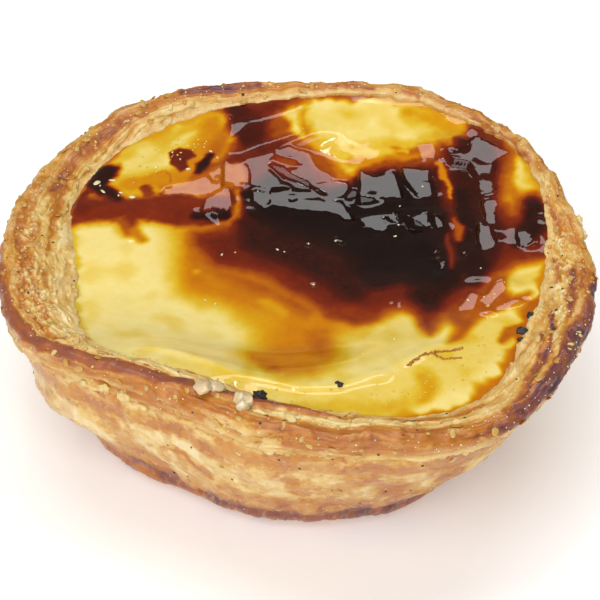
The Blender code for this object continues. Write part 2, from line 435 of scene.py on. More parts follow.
flat[:, 2] = np.maximum(flat[:, 2], 0.0)
print("wall relief from", wall_relief.min().round(2), "to", wall_relief.max().round(2), "mm")

# %% [markdown]
# ### Browning of the wall
# The wall touched metal, so it baked evenly: cream, with golden blotches where butter ran
# and a darker foot. The strokes are placed by angle, in degrees, and by height, and their
# edges are torn by noise, as the leaves over them are.

# %% Strokes on the wall
WALL_DEGREE = 0.58  # millimetres along the wall in one degree


def in_mm(path, degree):
    """Turns a path given in (degrees, distance, half width) into one in millimetres."""
    return tuple((point[0] * degree,) + point[1:] for point in path)


def along(layers, degree):
    return [(level, softness, in_mm(path, degree)) for level, softness, path in layers]


WALL_LAYERS = (  # level, softness, and points of (degrees, height, half width)
    # golden dough where leaves are gone; the first stroke, just under the band, is also painted shade under
    # its overhang
    (0.5, 0.5, ((204, 24.3, 0.7), (214, 23.4, 1.3), (226, 23, 1.5), (240, 23.6, 1), (246, 23.6, 0.7))),
    (0.36, 0.5, ((218, 19, 1), (222, 16.5, 1.6), (226, 14, 0.8))),
    (0.36, 0.5, ((206, 15, 0.8), (214, 17, 1))),
    (0.44, 0.5, ((243, 20.4, 0.9), (247, 18.4, 1.1))),
    (0.42, 0.5, ((254, 21.6, 0.8), (258, 18.6, 1.3))),
    (0.4, 0.3, ((236, 13.6, 0.5), (241, 14.4, 0.7), (245, 12.6, 0.8), (249, 11.4, 0.7))),
    (0.44, 0.5, ((249, 23.4, 1), (254, 23.8, 0.8))),
    (0.5, 0.5, ((262, 23.2, 1), (266, 22, 1.1), (276, 21.8, 0.9))),
    (0.44, 0.6, ((266, 17, 1), (268, 13.6, 1.3), (270, 11, 1))),
    (0.54, 0.6, ((274, 19.6, 0.6), (279, 19.4, 0.8))),
    (0.42, 0.8, ((283, 17, 1.2), (288, 13, 1.6), (292, 9, 1.4))),
    (0.44, 1.2, ((296, 21, 1.8), (300, 15, 1.8), (305, 10, 1.4))),
    (0.4, 0.9, ((251, 9.5, 0.9), (258, 8.5, 1.3), (266, 8, 1.3), (276, 8.6, 1.3), (286, 7, 1.5))),
    (0.46, 0.9, ((228, 4, 0.7), (240, 4.2, 1), (262, 3.4, 1.2), (285, 3.8, 1.5), (305, 5, 1.8))),
    (0.38, 0.6, ((221, 9, 0.6), (231, 8.4, 0.7))),
    (0.5, 0.4, ((219, 5.6, 0.5), (224, 5.2, 0.6), (229, 4.9, 0.4))),
    # pale leaves
    (0.07, 0.6, ((226, 19.5, 0.8), (232, 17.6, 1.2), (240, 16.4, 1.5), (250, 15, 1.5), (258, 14.4, 0.9))),
    (0.09, 0.7, ((209, 21, 0.9), (214, 13, 1.4), (218, 10, 1.2))),
    (0.1, 0.6, ((228, 12, 0.9), (235, 10.4, 1.1), (239, 8, 0.8))),
    (0.12, 0.5, ((256, 13, 1), (262, 12.6, 1), (268, 16, 0.6))),
    (0.12, 0.3, ((236, 21.4, 0.7), (244, 22, 0.5))),
    (0.1, 0.5, ((278, 24.4, 0.9), (283, 23, 1), (287, 21, 0.7))),
    (0.14, 0.4, ((268, 19.4, 0.6), (276, 18, 0.7), (282, 17, 0.7))),
    # the burnt corner and the far side
    (0.48, 1.5, ((312, 12, 2), (325, 14, 3), (340, 16, 2.4))),
    (0.86, 1.5, ((320, 22.4, 1.4), (330, 22.4, 2.2), (338, 24, 1.2))),
    (0.42, 0.9, ((356, 20, 1.4), (8, 17, 1.8), (14, 11, 1.5))),
    (0.44, 0.9, ((24, 22, 1.3), (34, 14, 2.2), (40, 8, 1.6))),
    (0.46, 0.9, ((58, 21, 2.2), (66, 13, 1.6), (72, 7, 2))),
    (0.42, 0.9, ((92, 22, 1.5), (98, 15, 2.4), (108, 10, 1.6))),
    (0.46, 0.9, ((122, 23, 1.6), (132, 15, 2.2), (136, 8, 1.8))),
    (0.4, 0.9, ((158, 22, 1.4), (164, 14, 2.2), (176, 9, 1.5))),
    (0.08, 0.8, ((48, 19, 1.8), (52, 12, 1.6))),
    (0.08, 0.8, ((82, 14, 1.8), (86, 9, 1.4))),
    (0.08, 0.8, ((113, 19, 1.8), (118, 14, 1.4))),
    (0.08, 0.8, ((145, 20, 1.6), (150, 12, 1.8), (190, 15, 1.6))),
)
print("strokes on the wall:", len(WALL_LAYERS))

# %% Wall browning
torn = flat / 2.4
warp_along = wall_angle * WALL_DEGREE + 1.2 * crumb_noise(torn, 51, 5)
warp_height = wall_h + 1.0 * crumb_noise(torn, 52, 5)
wall_bake = paint(0.20 + 0.0 * wall_h, warp_along, warp_height, along(WALL_LAYERS, WALL_DEGREE))
tall = flat * np.array([1.0, 1.0, 0.55])
blotch = crumb_noise(tall / 3.6, 53, 4)
wall_bake += 0.13 * smooth_step(-0.08, 0.30, blotch) - 0.05 + 0.06 * crumb_noise(tall / 1.5, 54, 3)
wall_bake += 0.05 * (0.5 - big_leaf) + 0.03 * (0.5 - long_leaf) + 0.03 * (0.5 - small_leaf)
wall_bake += 0.28 * smooth_step(12.0, 1.0, wall_h) + 0.14 * smooth_step(0.8, 0.0, wall_h) + 0.02
leaf_edge = np.maximum(big_leaf * (1 - big_leaf), long_leaf * (1 - long_leaf)) * 4
gold = smooth_step(0.02, 0.34, crumb_noise(tall / 4.4, 55, 4)) * smooth_step(0.50, 0.36, wall_bake)
wall_butter = shown * np.clip(0.70 * gold + 0.5 * smooth_step(0.30, 0.46, wall_bake) * (wall_h > 7), 0, 1)
wall_frost = shown * np.clip(0.40 * leaf_edge + 0.5 * smooth_step(0.20, 0.06, wall_bake), 0, 1)
wall_grain = tall * 0.6

wall_faces = ring_faces(len(wall_rows), WALL_COLUMNS)
first_ring = list(range(WALL_COLUMNS))
last_start = (len(wall_rows) - 1) * WALL_COLUMNS
wall_faces.append(first_ring[::-1])
wall_faces.append([last_start + i for i in range(WALL_COLUMNS)])
pastry_wall = new_piece(
    "pastry_wall", flat, wall_faces,
    {"bake": wall_bake, "butter": wall_butter, "frost_and_top_highlight": wall_frost, "grain": wall_grain},
)

# %% [markdown]
# ## The rim
# The rim shows the cut edges of the sheets, so it is the roughest part and gets the
# finest grid: a closed ring that starts below the outer edge, rolls over the crest, falls
# to the custard and closes underneath. Its lower lip stands proud of the wall, as the
# outermost sheet does. The line where it meets the custard wanders: at the front left the
# custard has crept up the slope, and at the front right it stopped short.

# %% Where the rim's slope ends
CREEP_UP = (  # middle and spread in degrees, distance in mm
    (224, 15, 2.6), (254, 10, -2.4), (274, 14, -2), (294, 13, -2.2), (118, 24, -1.4),
)


def slope_end(angle):
    """(radius, height) where the custard really meets the pastry's slope."""
    crept = 0.0
    for middle, spread, size in CREEP_UP:
        turn = turned_away(angle, middle)
        crept = crept + size * np.exp(-((turn / math.radians(spread)) ** 2))
    slope_width = rim_width(angle) - CREST_INSET
    share = 1 - crept / slope_width
    end_radius, end_height = contact(angle)
    crest_height = rim_height(angle)
    return end_radius + crept, crest_height + (end_height - crest_height) * share**SLOPE_POWER


# %% Rim grid
RIM_COLUMNS = 1010
OUTSIDE_ROWS = 18
CREST_ROWS = 14
SLOPE_ROWS = 58
UNEVENNESS = 0.28  # size of the small waves in the outer edge

angles = np.arange(RIM_COLUMNS) * math.tau / RIM_COLUMNS
circle = np.stack([np.cos(angles), np.sin(angles)], 1)
ring_noise = crumb_noise(np.column_stack([circle * RIM_RADIUS / 4.0, 0 * angles]), 61, 3)
lip_noise = crumb_noise(np.column_stack([circle * RIM_RADIUS / 2.2, 0 * angles]), 62, 4)
edge = edge_height(angles)
lip = RIM_OVERLAP + 0.9 * lip_noise
proud = 0.12 + 0.25 * shape_mask(np.degrees(angles), 0 * angles, ((205, 0, 1), (240, 0, 1)), 25)
outer = rim_radius(angles) + UNEVENNESS * ring_noise
crest_lift = 0.25 * crumb_noise(np.column_stack([circle * RIM_RADIUS / 5.0, 0 * angles]), 63, 3)
end_radius, end_height = slope_end(angles)

rim_rows = []
for share in (0.0, 0.6):
    height = edge - lip
    rim_rows.append((wall_radius(angles, height) - 0.9 + (0.9 + proud) * share, height + 0.1))
for step in range(OUTSIDE_ROWS):
    share = step / (OUTSIDE_ROWS - 1)
    height = edge - lip * (1 - share)
    rounding = math.sqrt(1 - max(0.0, 1 - share * 5) ** 2)
    outside = wall_radius(angles, height) + UNEVENNESS * ring_noise * share
    rim_rows.append((outside + proud * rounding * (1 - share), height))
for step in range(1, CREST_ROWS + 1):
    turn = math.pi / 2 * step / CREST_ROWS
    rim_rows.append((
        outer - CREST_INSET * (1 - math.cos(turn)),
        edge + (RIM_ROUNDING + crest_lift) * math.sin(turn),
    ))
crest_radius = outer - CREST_INSET
crest = edge + RIM_ROUNDING + crest_lift
inner_edge = end_radius + 0.45 * crumb_noise(np.column_stack([circle * 12.0, 0 * angles]), 64, 4)
for step in range(1, SLOPE_ROWS + 1):
    share = step / SLOPE_ROWS
    rim_rows.append((
        crest_radius + (inner_edge - crest_radius) * share,
        crest + (end_height - crest) * share**SLOPE_POWER,
    ))
shown_rim_rows = len(rim_rows)
for drop in (0.5, 2.0):
    rim_rows.append((inner_edge - 0.15 * drop, end_height - drop))
rim_rows.append((np.minimum(end_radius, outer - 3.0), edge - lip - 0.8))

rim_r, rim_z, rim_points = bent_grid(rim_rows, angles)
print("rim grid:", rim_points.shape)

# %% Places over the rim
section_step = np.hypot(np.diff(rim_r, axis=0), np.diff(rim_z, axis=0))
across = np.vstack([0 * angles, np.cumsum(section_step, axis=0)])
across = across - across[2 + OUTSIDE_ROWS]
rim_flat = rim_points.reshape(-1, 3)
rim_x, rim_y = rim_flat[:, 0], rim_flat[:, 1]
rim_across = across.ravel()
rim_angle = np.degrees(np.arctan2(rim_y, rim_x)) % 360
rim_row = np.repeat(np.arange(len(rim_rows)), RIM_COLUMNS)
to_custard = np.hypot(rim_r - inner_edge, rim_z - end_height).ravel()
RIM_DEGREE = 0.66  # millimetres along the crest in one degree
bend = rim_flat / 1.8
warp_along = rim_angle * RIM_DEGREE + 0.8 * crumb_noise(bend, 71, 4)
warp_across = rim_across + 0.32 * crumb_noise(bend, 72, 4)
along_ring = np.column_stack([np.cos(np.radians(rim_angle)), np.sin(np.radians(rim_angle))]) * RIM_RADIUS
sheet_drift = 0.9 * noise(np.column_stack([along_ring / 8.0, rim_across / 4.0]), 74)


def ring_place(around, inward, drift=0.0):
    """Noise coordinates that follow the rim: one unit is so many millimetres each way."""
    return np.column_stack([along_ring / around, (rim_across + drift * sheet_drift) / inward])


# %% The smooth band and the crumbly stretches
BAND = (  # points of (degrees, distance inwards, half width)
    (174, -0.2, 0.5), (184, 0.4, 0.8), (196, 0.8, 0.9), (212, 1.2, 1), (226, 1.7, 1.1), (238, 2.3, 1.1),
    (246, 3.6, 1.1), (252, 5, 1.1), (260, 6.2, 1), (268, 6.2, 0.8), (277, 6, 0.4),
)
CRUMBLY = (
    ((166, 3.6, 1), (182, 4.6, 1.8), (196, 5, 2), (208, 5, 2), (216, 4.4, 1.4)),
    ((338, 5.4, 1), (350, 4.6, 1.6), (364, 4, 1.4)),
    ((-5, 4, 1.6), (4, 4, 1.2), (22, 3.2, 0.7)),
)
crumbly = 0.0
for path in CRUMBLY:
    crumbly = np.maximum(crumbly, shape_mask(warp_along, warp_across, in_mm(path, RIM_DEGREE), 1.2))
band = shape_mask(warp_along, warp_across, in_mm(BAND, RIM_DEGREE), 0.25)
print("share of the rim that is crumbly:", crumbly.mean().round(2), "and smooth:", band.mean().round(2))

# %% Rim relief
crumb_puffs = puffs(ring_place(1.5, 1.2), 131, 3)
strands = puffs(ring_place(13.0, 1.5, 1.0), 135, 2)
threads = puffs(ring_place(6.0, 0.62, 1.0), 137, 2)
torn_leaf = leaf(ring_place(6.5, 2.0, 0.6), 141, 0.08, 0.05)
thin_leaf = leaf(ring_place(2.8, 1.3), 144, 0.0, 0.10)
layered = (1 - crumbly) * (1 - band)
rim_relief = crumbly * (0.55 * (crumb_puffs - 0.5) + 0.12 * (strands - 0.4) + 0.10 * thin_leaf)
rim_relief += layered * (0.34 * (strands - 0.4) + 0.12 * (threads - 0.4) + 0.18 * (torn_leaf - 0.5))
rim_relief += layered * 0.07 * torn_leaf * thin_leaf
crest_step = smooth_step(236, 250, rim_angle) * smooth_step(284, 270, rim_angle)
rim_relief += band * (0.16 + 0.55 * crest_step + 0.05 * (threads - 0.4))
fine = 0.03 * crumb_noise(rim_flat / 0.7, 66, 2)
rim_relief += (1 - 0.6 * band) * (0.30 * noise(rim_flat / 4.0, 65) + fine)
fade = smooth_step(0, 3, rim_row) * (1 - smooth_step(shown_rim_rows - 2, shown_rim_rows, rim_row))
rim_relief *= fade * (0.2 + 0.8 * smooth_step(0.0, 1.2, to_custard))
rim_flat = rim_flat + grid_normals(rim_points).reshape(-1, 3) * rim_relief[:, None]
print("rim relief from", rim_relief.min().round(2), "to", rim_relief.max().round(2), "mm")

# %% [markdown]
# ### Browning of the rim
# The rim stands nearest the oven's roof. It is cream beside the custard, golden on the
# slope, and brown or even burnt where an edge stood proud. The shapes are placed by angle
# and by the distance over the section, counted inwards from the outer edge.

# %% Strokes on the rim
RIM_LAYERS = (  # level, softness, and points of (degrees, distance inwards, half width)
    (0.12, 1, ((166, 7.6, 0.8), (182, 8.4, 1.2), (196, 8.2, 1.3), (212, 7.4, 1.1), (226, 6.4, 0.8))),
    (0.46, 0.5, ((168, 4.5, 0.7), (180, 4.4, 0.7), (190, 5, 0.6), (202, 5.4, 0.5))),
    (0.56, 0.4, ((176, 3, 0.6), (186, 3.8, 0.6), (194, 3.4, 0.6))),
    (0.52, 0.4, ((184, 6.2, 0.4), (191, 6.8, 0.3))),
    (0.54, 0.4, ((192, 3, 0.5), (204, 3.4, 0.5), (214, 3.5, 0.4))),
    (0.62, 0.3, BAND),
    (0.64, 0.4, ((180, 0.1, 0.5), (190, 0.5, 0.7), (200, 0.9, 0.6), (208, 1, 0.4))),
    (0.66, 0.3, ((198, 1.7, 0.2), (212, 2.1, 0.3), (226, 2.6, 0.3), (238, 3.2, 0.35), (246, 4.4, 0.4),
     (254, 6, 0.4))),
    # Orange just outside and under the band: golden dough, with painted shade and painted glow under the
    # band's overhang.
    (0.5, 0.5, ((206, -0.2, 0.4), (220, -0.4, 0.5), (236, 0.2, 0.8), (246, 1.2, 1.2), (254, 2.6, 1.4),
     (264, 3.4, 1))),
    (0.5, 0.5, ((225, -1.4, 0.5), (234, -1.8, 0.9), (242, -1.4, 1.1), (250, -0.2, 1.2))),
    (0.68, 0.4, ((241, 2.8, 0.4), (247, 4, 0.7), (256, 5.8, 0.6), (264, 6.4, 0.4))),
    (0.18, 0.5, ((214, 3.8, 0.5), (226, 4.2, 0.4), (240, 4.8, 0.4))),
    (0.54, 0.6, ((262, 1.4, 0.8), (272, 1.6, 1.2), (284, 1.8, 1.3), (296, 2.2, 1.4))),
    (0.58, 0.4, ((266, 1.2, 0.5), (274, 1, 0.6), (283, 0.8, 0.5))),
    (0.14, 0.3, ((262, 3.6, 0.4), (270, 3.8, 0.5), (278, 3.8, 0.6), (288, 4, 0.5))),
    (0.72, 0.4, ((274, -0.4, 0.4), (281, -0.8, 0.6))),
    (0.54, 0.6, ((272, 6, 0.5), (284, 6.4, 0.6), (296, 6.2, 0.6), (306, 5.8, 0.6))),
    (0.52, 0.8, ((268, -1, 1), (284, -0.4, 1.3), (298, 0, 1.4), (308, 0.6, 1))),
    (0.58, 0.4, ((344, 6, 0.4), (352, 5.6, 0.5), (358, 5.4, 0.4))),
    (0.22, 0.4, ((292, 4.2, 0.4), (304, 3.8, 0.4), (314, 3.2, 0.4))),
    (0.5, 0.8, ((298, 1.5, 1), (312, 2, 1.1))),
    (0.78, 0.8, ((304, 0.2, 0.6), (313, 0.6, 1.3), (323, 1, 1.8), (334, 1.2, 1.8), (343, 0.8, 1.2),
     (352, 0.6, 0.6))),
    (0.68, 0.6, ((308, 2, 0.5), (316, 3.2, 0.7), (326, 4, 0.8), (336, 4.4, 0.8), (346, 3.8, 0.8),
     (354, 3.6, 0.5))),
    (0.82, 0.25, ((324, 3.3, 0.2), (329, 3.9, 0.28), (334, 5, 0.3), (340, 6.4, 0.3))),
    (0.62, 0.3, ((316, 3.9, 0.3), (325, 4.9, 0.3), (332, 6, 0.35))),
    (0.64, 0.4, ((344, 3.2, 0.4), (350, 2.4, 0.4), (357, 2.2, 0.3))),
    (0.14, 0.4, ((318, 2.9, 0.4), (326, 3, 0.4), (345, 5.6, 0.7), (352, 4.8, 0.6))),
    (0.58, 0.5, ((5, 3.6, 0.4), (12, 3.4, 0.5), (17, 3.4, 0.4))),
    (0.66, 0.5, ((30, 3, 0.4), (40, 2.8, 0.4), (48, 2.8, 0.4))),
    (0.55, 0.4, ((62, 2.6, 0.4), (66, 2.4, 0.4))),
    (0.58, 0.4, ((74, 2.4, 0.4), (82, 2.2, 0.5))),
    (0.46, 0.8, ((84, 2, 0.8), (100, 2.4, 1), (118, 2.6, 1), (132, 3, 0.8))),
    (0.74, 0.6, ((99, 1.8, 0.6), (106, 2.1, 1), (114, 2.2, 0.7))),
    (0.62, 0.8, ((124, 3.6, 0.7), (134, 3.4, 1), (145, 3.6, 1.2), (155, 4.4, 0.9))),
    (0.54, 0.5, ((122, 1.2, 0.5), (133, 2, 0.6))),
    (0.5, 0.5, ((154, 2.2, 0.5), (164, 2.8, 0.6), (174, 2.2, 0.5))),
    (0.56, 0.4, ((152, 5.2, 0.6), (160, 5.8, 0.6), (166, 6.4, 0.4))),
    (0.5, 0.4, ((158, 6, 0.4), (168, 6.6, 0.3), (178, 6.6, 0.3))),
)
print("strokes on the rim:", len(RIM_LAYERS))

# %% Rim browning, with painted crease shade and painted highlights
crest_tan = 0.14 * np.exp(-((rim_across - 1.3) / 1.6) ** 2)
rim_bake = paint(0.25 + crest_tan, warp_along, warp_across, along(RIM_LAYERS, RIM_DEGREE))
# Painted shade and painted highlight: darker in the low creases between strands, threads and crumb puffs,
# paler on their tops. Darker where a torn leaf has flaked off, which is the colour of the layer beneath.
rim_bake += layered * (0.10 * (0.45 - strands) + 0.08 * (0.42 - threads) + 0.07 * (0.5 - torn_leaf))
rim_bake += crumbly * 0.20 * (0.42 - crumb_puffs) + band * 0.05 * (0.45 - threads)
rim_bake += (0.08 - 0.04 * band) * crumb_noise(rim_flat / 2.6, 73, 4)
# Painted shade: the creases between puffs and between strands, and the spots where both leaves are gone,
# get the butter's amber.
crease_shade = np.maximum(
    crumbly * smooth_step(0.30, 0.08, crumb_puffs),
    layered * smooth_step(0.22, 0.04, strands),
)
crease_shade = np.maximum(crease_shade, 0.45 * layered * (1 - torn_leaf) * (1 - thin_leaf))
# Dough soaked in butter is amber in its own right; the crease term above adds painted shade to it.
soaked = 0.35 * (1 - band) * smooth_step(0.34, 0.46, rim_bake) * smooth_step(0.70, 0.55, rim_bake) * fade
rim_butter_and_crease_shade = 0.85 * fade * crease_shade * smooth_step(0.80, 0.60, rim_bake) + soaked
# Painted highlight: the tops of the crumb puffs and strands are paled as frost. Torn leaf edges and the
# strip beside the custard are pale dry dough.
rim_frost_and_top_highlight = 0.9 * crumbly * smooth_step(0.50, 0.85, crumb_puffs)
torn_edge = 1.6 * torn_leaf * (1 - torn_leaf)
rim_frost_and_top_highlight = np.maximum(rim_frost_and_top_highlight, layered * (0.4 * smooth_step(0.45, 0.75, strands) + torn_edge))
rim_frost_and_top_highlight = np.maximum(rim_frost_and_top_highlight, 0.6 * (1 - band) * smooth_step(1.2, 0.3, to_custard)) * fade
rim_frost_and_top_highlight *= smooth_step(0.60, 0.38, rim_bake)
rim_grain = np.column_stack([rim_x * 0.3, rim_y * 0.3, rim_across + 0.7 * sheet_drift])

pastry_rim = new_piece(
    "pastry_rim", rim_flat, ring_faces(len(rim_rows), RIM_COLUMNS, closed=True),
    {"bake": rim_bake, "butter": rim_butter_and_crease_shade, "frost_and_top_highlight": rim_frost_and_top_highlight, "grain": rim_grain},
)

# %% [markdown]
# ## The custard
# Custard rises in the oven and sinks as it cools, leaving a pool with a shelf in front.
# Its skin browns, then wrinkles as it sinks. The top is a square grid squeezed into the
# outline, so its cells stay even and there is no pole in the middle.

# %% A square grid squeezed into a disc
CUSTARD_CELLS = 300
CUSTARD_TUCK = 1.2  # how far the custard runs in under the pastry's edge

line = np.linspace(-1, 1, CUSTARD_CELLS + 1)
grid_a, grid_b = np.meshgrid(line, line, indexing="ij")
wide = np.abs(grid_a) > np.abs(grid_b)
long_side = np.where(wide, grid_a, grid_b)
safe = np.where(long_side == 0, 1.0, long_side)
turn = np.where(wide, math.pi / 4 * grid_b / safe, math.pi / 2 - math.pi / 4 * grid_a / safe)
disc_angle = np.where(long_side < 0, turn + math.pi, turn).ravel()
disc_share = np.abs(long_side).ravel()
edge_radius, edge_level = slope_end(disc_angle)
top_r = (edge_radius + CUSTARD_TUCK) * disc_share
top_x = top_r * np.cos(disc_angle)
top_y = top_r * np.sin(disc_angle)
sink = pool_sink(top_x, top_y)
print("custard grid spacing about", round(2 * RIM_RADIUS * 0.85 / CUSTARD_CELLS, 2), "mm")

# %% [markdown]
# ### A sheet to draw on
# The caramel and the folds are drawn on the custard as it stood before it sank, seen from
# the front and 36 degrees above. A sunken point lies behind the point that it seems to
# cover there, so each point looks up its stroke along that line of sight.

# %% Where each point of the custard lies on the drawn sheet
VIEW_RISE = math.radians(36.44)  # the camera looks down by this angle, too


def sheet_place(rise):
    """y on the drawn sheet for points that stand rise above the unsunken custard."""
    return top_y + rise / math.tan(VIEW_RISE)


sheet_y = sheet_place(-sink)
print("the deepest point is drawn", round((top_y - sheet_y).max(), 2), "mm nearer the front")

# %% [markdown]
# ### The skin
# The skin that wrinkled at the back is drawn first, because it shapes the custard. Wide
# folds come as strokes. Then come the patches of skin that lean toward the front and so
# mirror the light overhead: each is a flat piece of film between creases.

# %% Folds
FOLDS = (  # height, half width, and points of the centre line
    (0.4, 3, ((-28, 13.5), (-22, 12), (-15.5, 10.6), (-10, 12))),
    (0.8, 1.6, ((-10, 21), (-5, 24), (2.5, 27.5))),
    (1, 1.8, ((-4, 22), (2.5, 18), (9.3, 14.4))),
    (1.6, 2, ((21, 23), (25, 20.5), (25.2, 12), (24.9, 6))),
    (0.6, 1.6, ((24.8, 4), (23, -3))),
    (0.8, 1.3, ((31.5, 9), (30.5, 3))),
    (0.5, 1.1, ((-20, -19), (-15, -20.5), (-10, -22.4), (-5, -24.4), (0, -26.4), (5, -26.2),
     (10, -23.8))),
    (0.5, 1.1, ((10, -23.8), (15, -20), (18, -17.4), (20.4, -13.6))),
    (0.7, 1.5, ((20, -14), (24, -8.6), (28, -5.5))),
    (0.5, 0.9, ((24.5, -10.6), (29, -7))),
    (0.3, 0.5, ((-24.6, 13), (-23.4, 9), (-22.4, 5))),
    (0.2, 0.35, ((10.8, 5), (11.2, 0), (12.6, -4), (12.8, -9))),
    (0.16, 0.3, ((12.2, 4), (13.2, -1), (13.4, -6))),
)
print("folds:", len(FOLDS))

# %% Leaning patches
LEANING = (  # outlines on the drawn sheet
    # the pink and grey patches over the amber at the left
    ((-10.7, 20.8), (-12, 20.3), (-13.2, 18.8), (-14.2, 17), (-15.5, 17.4), (-18, 16.2), (-18.6, 14.8),
     (-16, 14.7), (-14, 14.1), (-12, 14.7), (-10.8, 16), (-10.5, 18.5)),
    ((-10.2, 22), (-7.6, 21.4), (-6.9, 19.4), (-7.1, 17), (-8.5, 16.8), (-10.3, 17)),
    ((-13, 13.6), (-12.6, 12.4), (-13, 11.4), (-11.8, 11.5), (-10.8, 10.9), (-9.2, 11.2), (-9.2, 13),
     (-9.6, 14.6), (-11, 15), (-12.2, 14.2)),
    # the fork
    ((-8.4, 22), (-5.2, 23.2), (-3.7, 23.8), (-4.4, 22), (-4.4, 20.2), (-3.6, 18.4), (-2.6, 17),
     (-1.2, 15.8), (-3.4, 16), (-5, 16.6), (-6.6, 16.8), (-6.7, 19), (-6.6, 21)),
    ((-3.5, 23.7), (-1.6, 24.7), (0, 23.6), (1.4, 22.4), (2, 20.6), (3.2, 18.4), (4.4, 16.6), (6.4, 16.2),
     (6.6, 15), (5.6, 13.6), (4.2, 13.4), (2.6, 14.8), (0.8, 16.8), (-1.2, 18.6), (-1.8, 19.4),
     (-0.2, 19.8), (0.4, 21), (-0.6, 22.4), (-2, 23.2)),
    # the long wave below it
    ((-3.9, 14.8), (-3.4, 12.8), (-2.4, 12.2), (0, 11.6), (2, 11), (3.6, 10.8), (5, 9.6), (6, 8.6),
     (7, 8.4), (6.6, 9.8), (5.2, 12), (3.4, 12.6), (2.2, 13.6), (1.6, 14.6), (0, 14.6), (-2, 14.7)),
    ((-6.2, 15), (-4.6, 14.4), (-4.2, 12.6), (-5.2, 11.5), (-6.2, 12.6)),
    # broad scales right of the middle
    ((8.2, 18.2), (9.4, 17.8), (12.6, 18.2), (13, 16.6), (13.4, 14.6), (13.7, 13), (11.8, 13), (10, 13.6),
     (8, 13), (8.3, 15.5)),
    ((13.8, 18.7), (17.5, 18.8), (17.2, 17), (17.6, 15.4), (17.9, 13.2), (16.4, 12.6), (15.8, 13.8),
     (14.8, 15.4), (14.2, 16.8)),
    ((7.6, 8.2), (8.6, 9.2), (10.4, 9.6), (12, 9.9), (13.2, 9.2), (13.5, 8), (12.6, 8.2), (11.8, 8.9),
     (10.4, 8.6), (9.4, 8.1), (10.8, 7.3), (11.7, 7), (11.3, 6), (10, 6), (8.6, 7.3)),
    ((14.6, 7.8), (16, 8.9), (17.1, 9), (16.9, 7), (16.4, 6.1), (15.4, 6.9)),
    ((18, 8.7), (18.9, 8.2), (19.2, 6.3), (18.4, 6), (18, 7.2)),
    # the tall ridge at the right
    ((20, 21.2), (21.2, 21.6), (22, 20.4), (23, 21.6), (23.4, 23.2), (25.4, 22.4), (28.2, 20.2),
     (26.2, 19), (25.8, 16), (26, 12), (24.3, 12), (23.9, 17), (22.8, 19.2), (21, 19.6)),
    ((24.3, 11.2), (26, 11.2), (25.8, 7.2), (24.6, 7.2)),
    ((23.6, 6.4), (24.8, 6.2), (25.6, 3), (25.4, 1.8), (24.4, 1.4), (23.6, 3)),
    ((28.6, 4.8), (29.6, 5), (30.2, 2.6), (29, 2)),
    ((31.4, 7), (32.6, 6.2), (32.2, 5.6), (31.2, 6)),
    ((31.6, 4.4), (32.6, 2.4), (31.6, 2.4)),
    # the light crease and the light line near the back
    ((-10, 32.4), (-8.6, 31.2), (-6, 31.4), (-3, 32.2), (0, 33), (0.4, 32.6), (-3, 31.2), (-5, 30.6),
     (-7.4, 30), (-8.4, 28.6), (-9.6, 27.6), (-9.3, 30)),
    ((-10, 24.1), (-8, 24.4), (-5.6, 25.8), (-2.4, 27), (0.6, 28.3), (0.6, 27.7), (-2.4, 26.3),
     (-5.6, 25), (-8, 23.6), (-9.6, 23.2)),
    ((15.8, 23.6), (17.6, 24), (18.4, 22.6), (18.2, 21), (16.6, 21)),
    ((22.4, 25.8), (23.4, 26.6), (24.6, 25.4), (23.8, 24), (22.8, 24.2)),
    # the flow at the right front
    ((20.4, -10.2), (21, -10.9), (22.4, -10.6), (22.8, -8.4), (23.1, -7.2), (22, -7), (21.2, -8.8)),
    ((23.3, -8.2), (23.9, -9.7), (25, -8.2), (26.4, -6.4), (26.3, -4.2), (25.4, -4.6), (24.4, -6.8)),
    ((25.2, -10.4), (26.6, -9.8), (28.6, -8.2), (27.6, -7.8), (26, -9.2)),
    # ripples on the pool
    ((0.7, 3), (1.1, 3.6), (1.7, 3.2), (1.1, 2.6)),
    ((4.2, 4), (4.9, 4.6), (6, 3.6), (5.6, 3.2), (4.8, 3.6)),
    ((1.4, -5.2), (1.9, -5), (2.1, -6.1), (1.6, -6.2)),
    ((12.6, -9.6), (12.9, -9.4), (13.1, -10.4), (12.7, -10.8)),
    ((18.3, -0.9), (18.9, -1.2), (19, -2.4), (18.5, -2.2)),
    ((17.3, 1.1), (18.3, 1.5), (18, 0.7)),
    ((21.4, 1.8), (21.8, 1.6), (21.7, 0.4)),
)
DARK_RINGS = (  # middle and radius of rings without a lean
    (-11.4, 18.1, 0.75), (-5.9, 18.2, 0.8), (-1, 13.4, 0.7), (16.6, 15.6, 0.5), (25.6, 20.4, 0.3),
)
RING_HALF_WIDTH = 0.22


def leaning(x, y):
    """Distance outside the nearest leaning patch. It is negative inside, save in a dark ring."""
    nearest = np.full(len(x), 1e9)
    for outline in LEANING:
        nearest = np.minimum(nearest, region_distance(x, y, outline))
    for ring_x, ring_y, ring_radius in DARK_RINGS:
        away = np.hypot(x - ring_x, y - ring_y)
        nearest = np.maximum(nearest, RING_HALF_WIDTH - np.abs(away - ring_radius))
    return nearest


print("leaning patches:", len(LEANING))

# %% [markdown]
# ### Caramel, laid on in strokes
# Level 0 is pale custard and level 1 is black caramel. Amber lies under the dark skin and
# shows as a soft border round it, so the strokes go from light to dark, and the clean
# yellow islands come last. The edges are warped by noise, because caramel creeps.

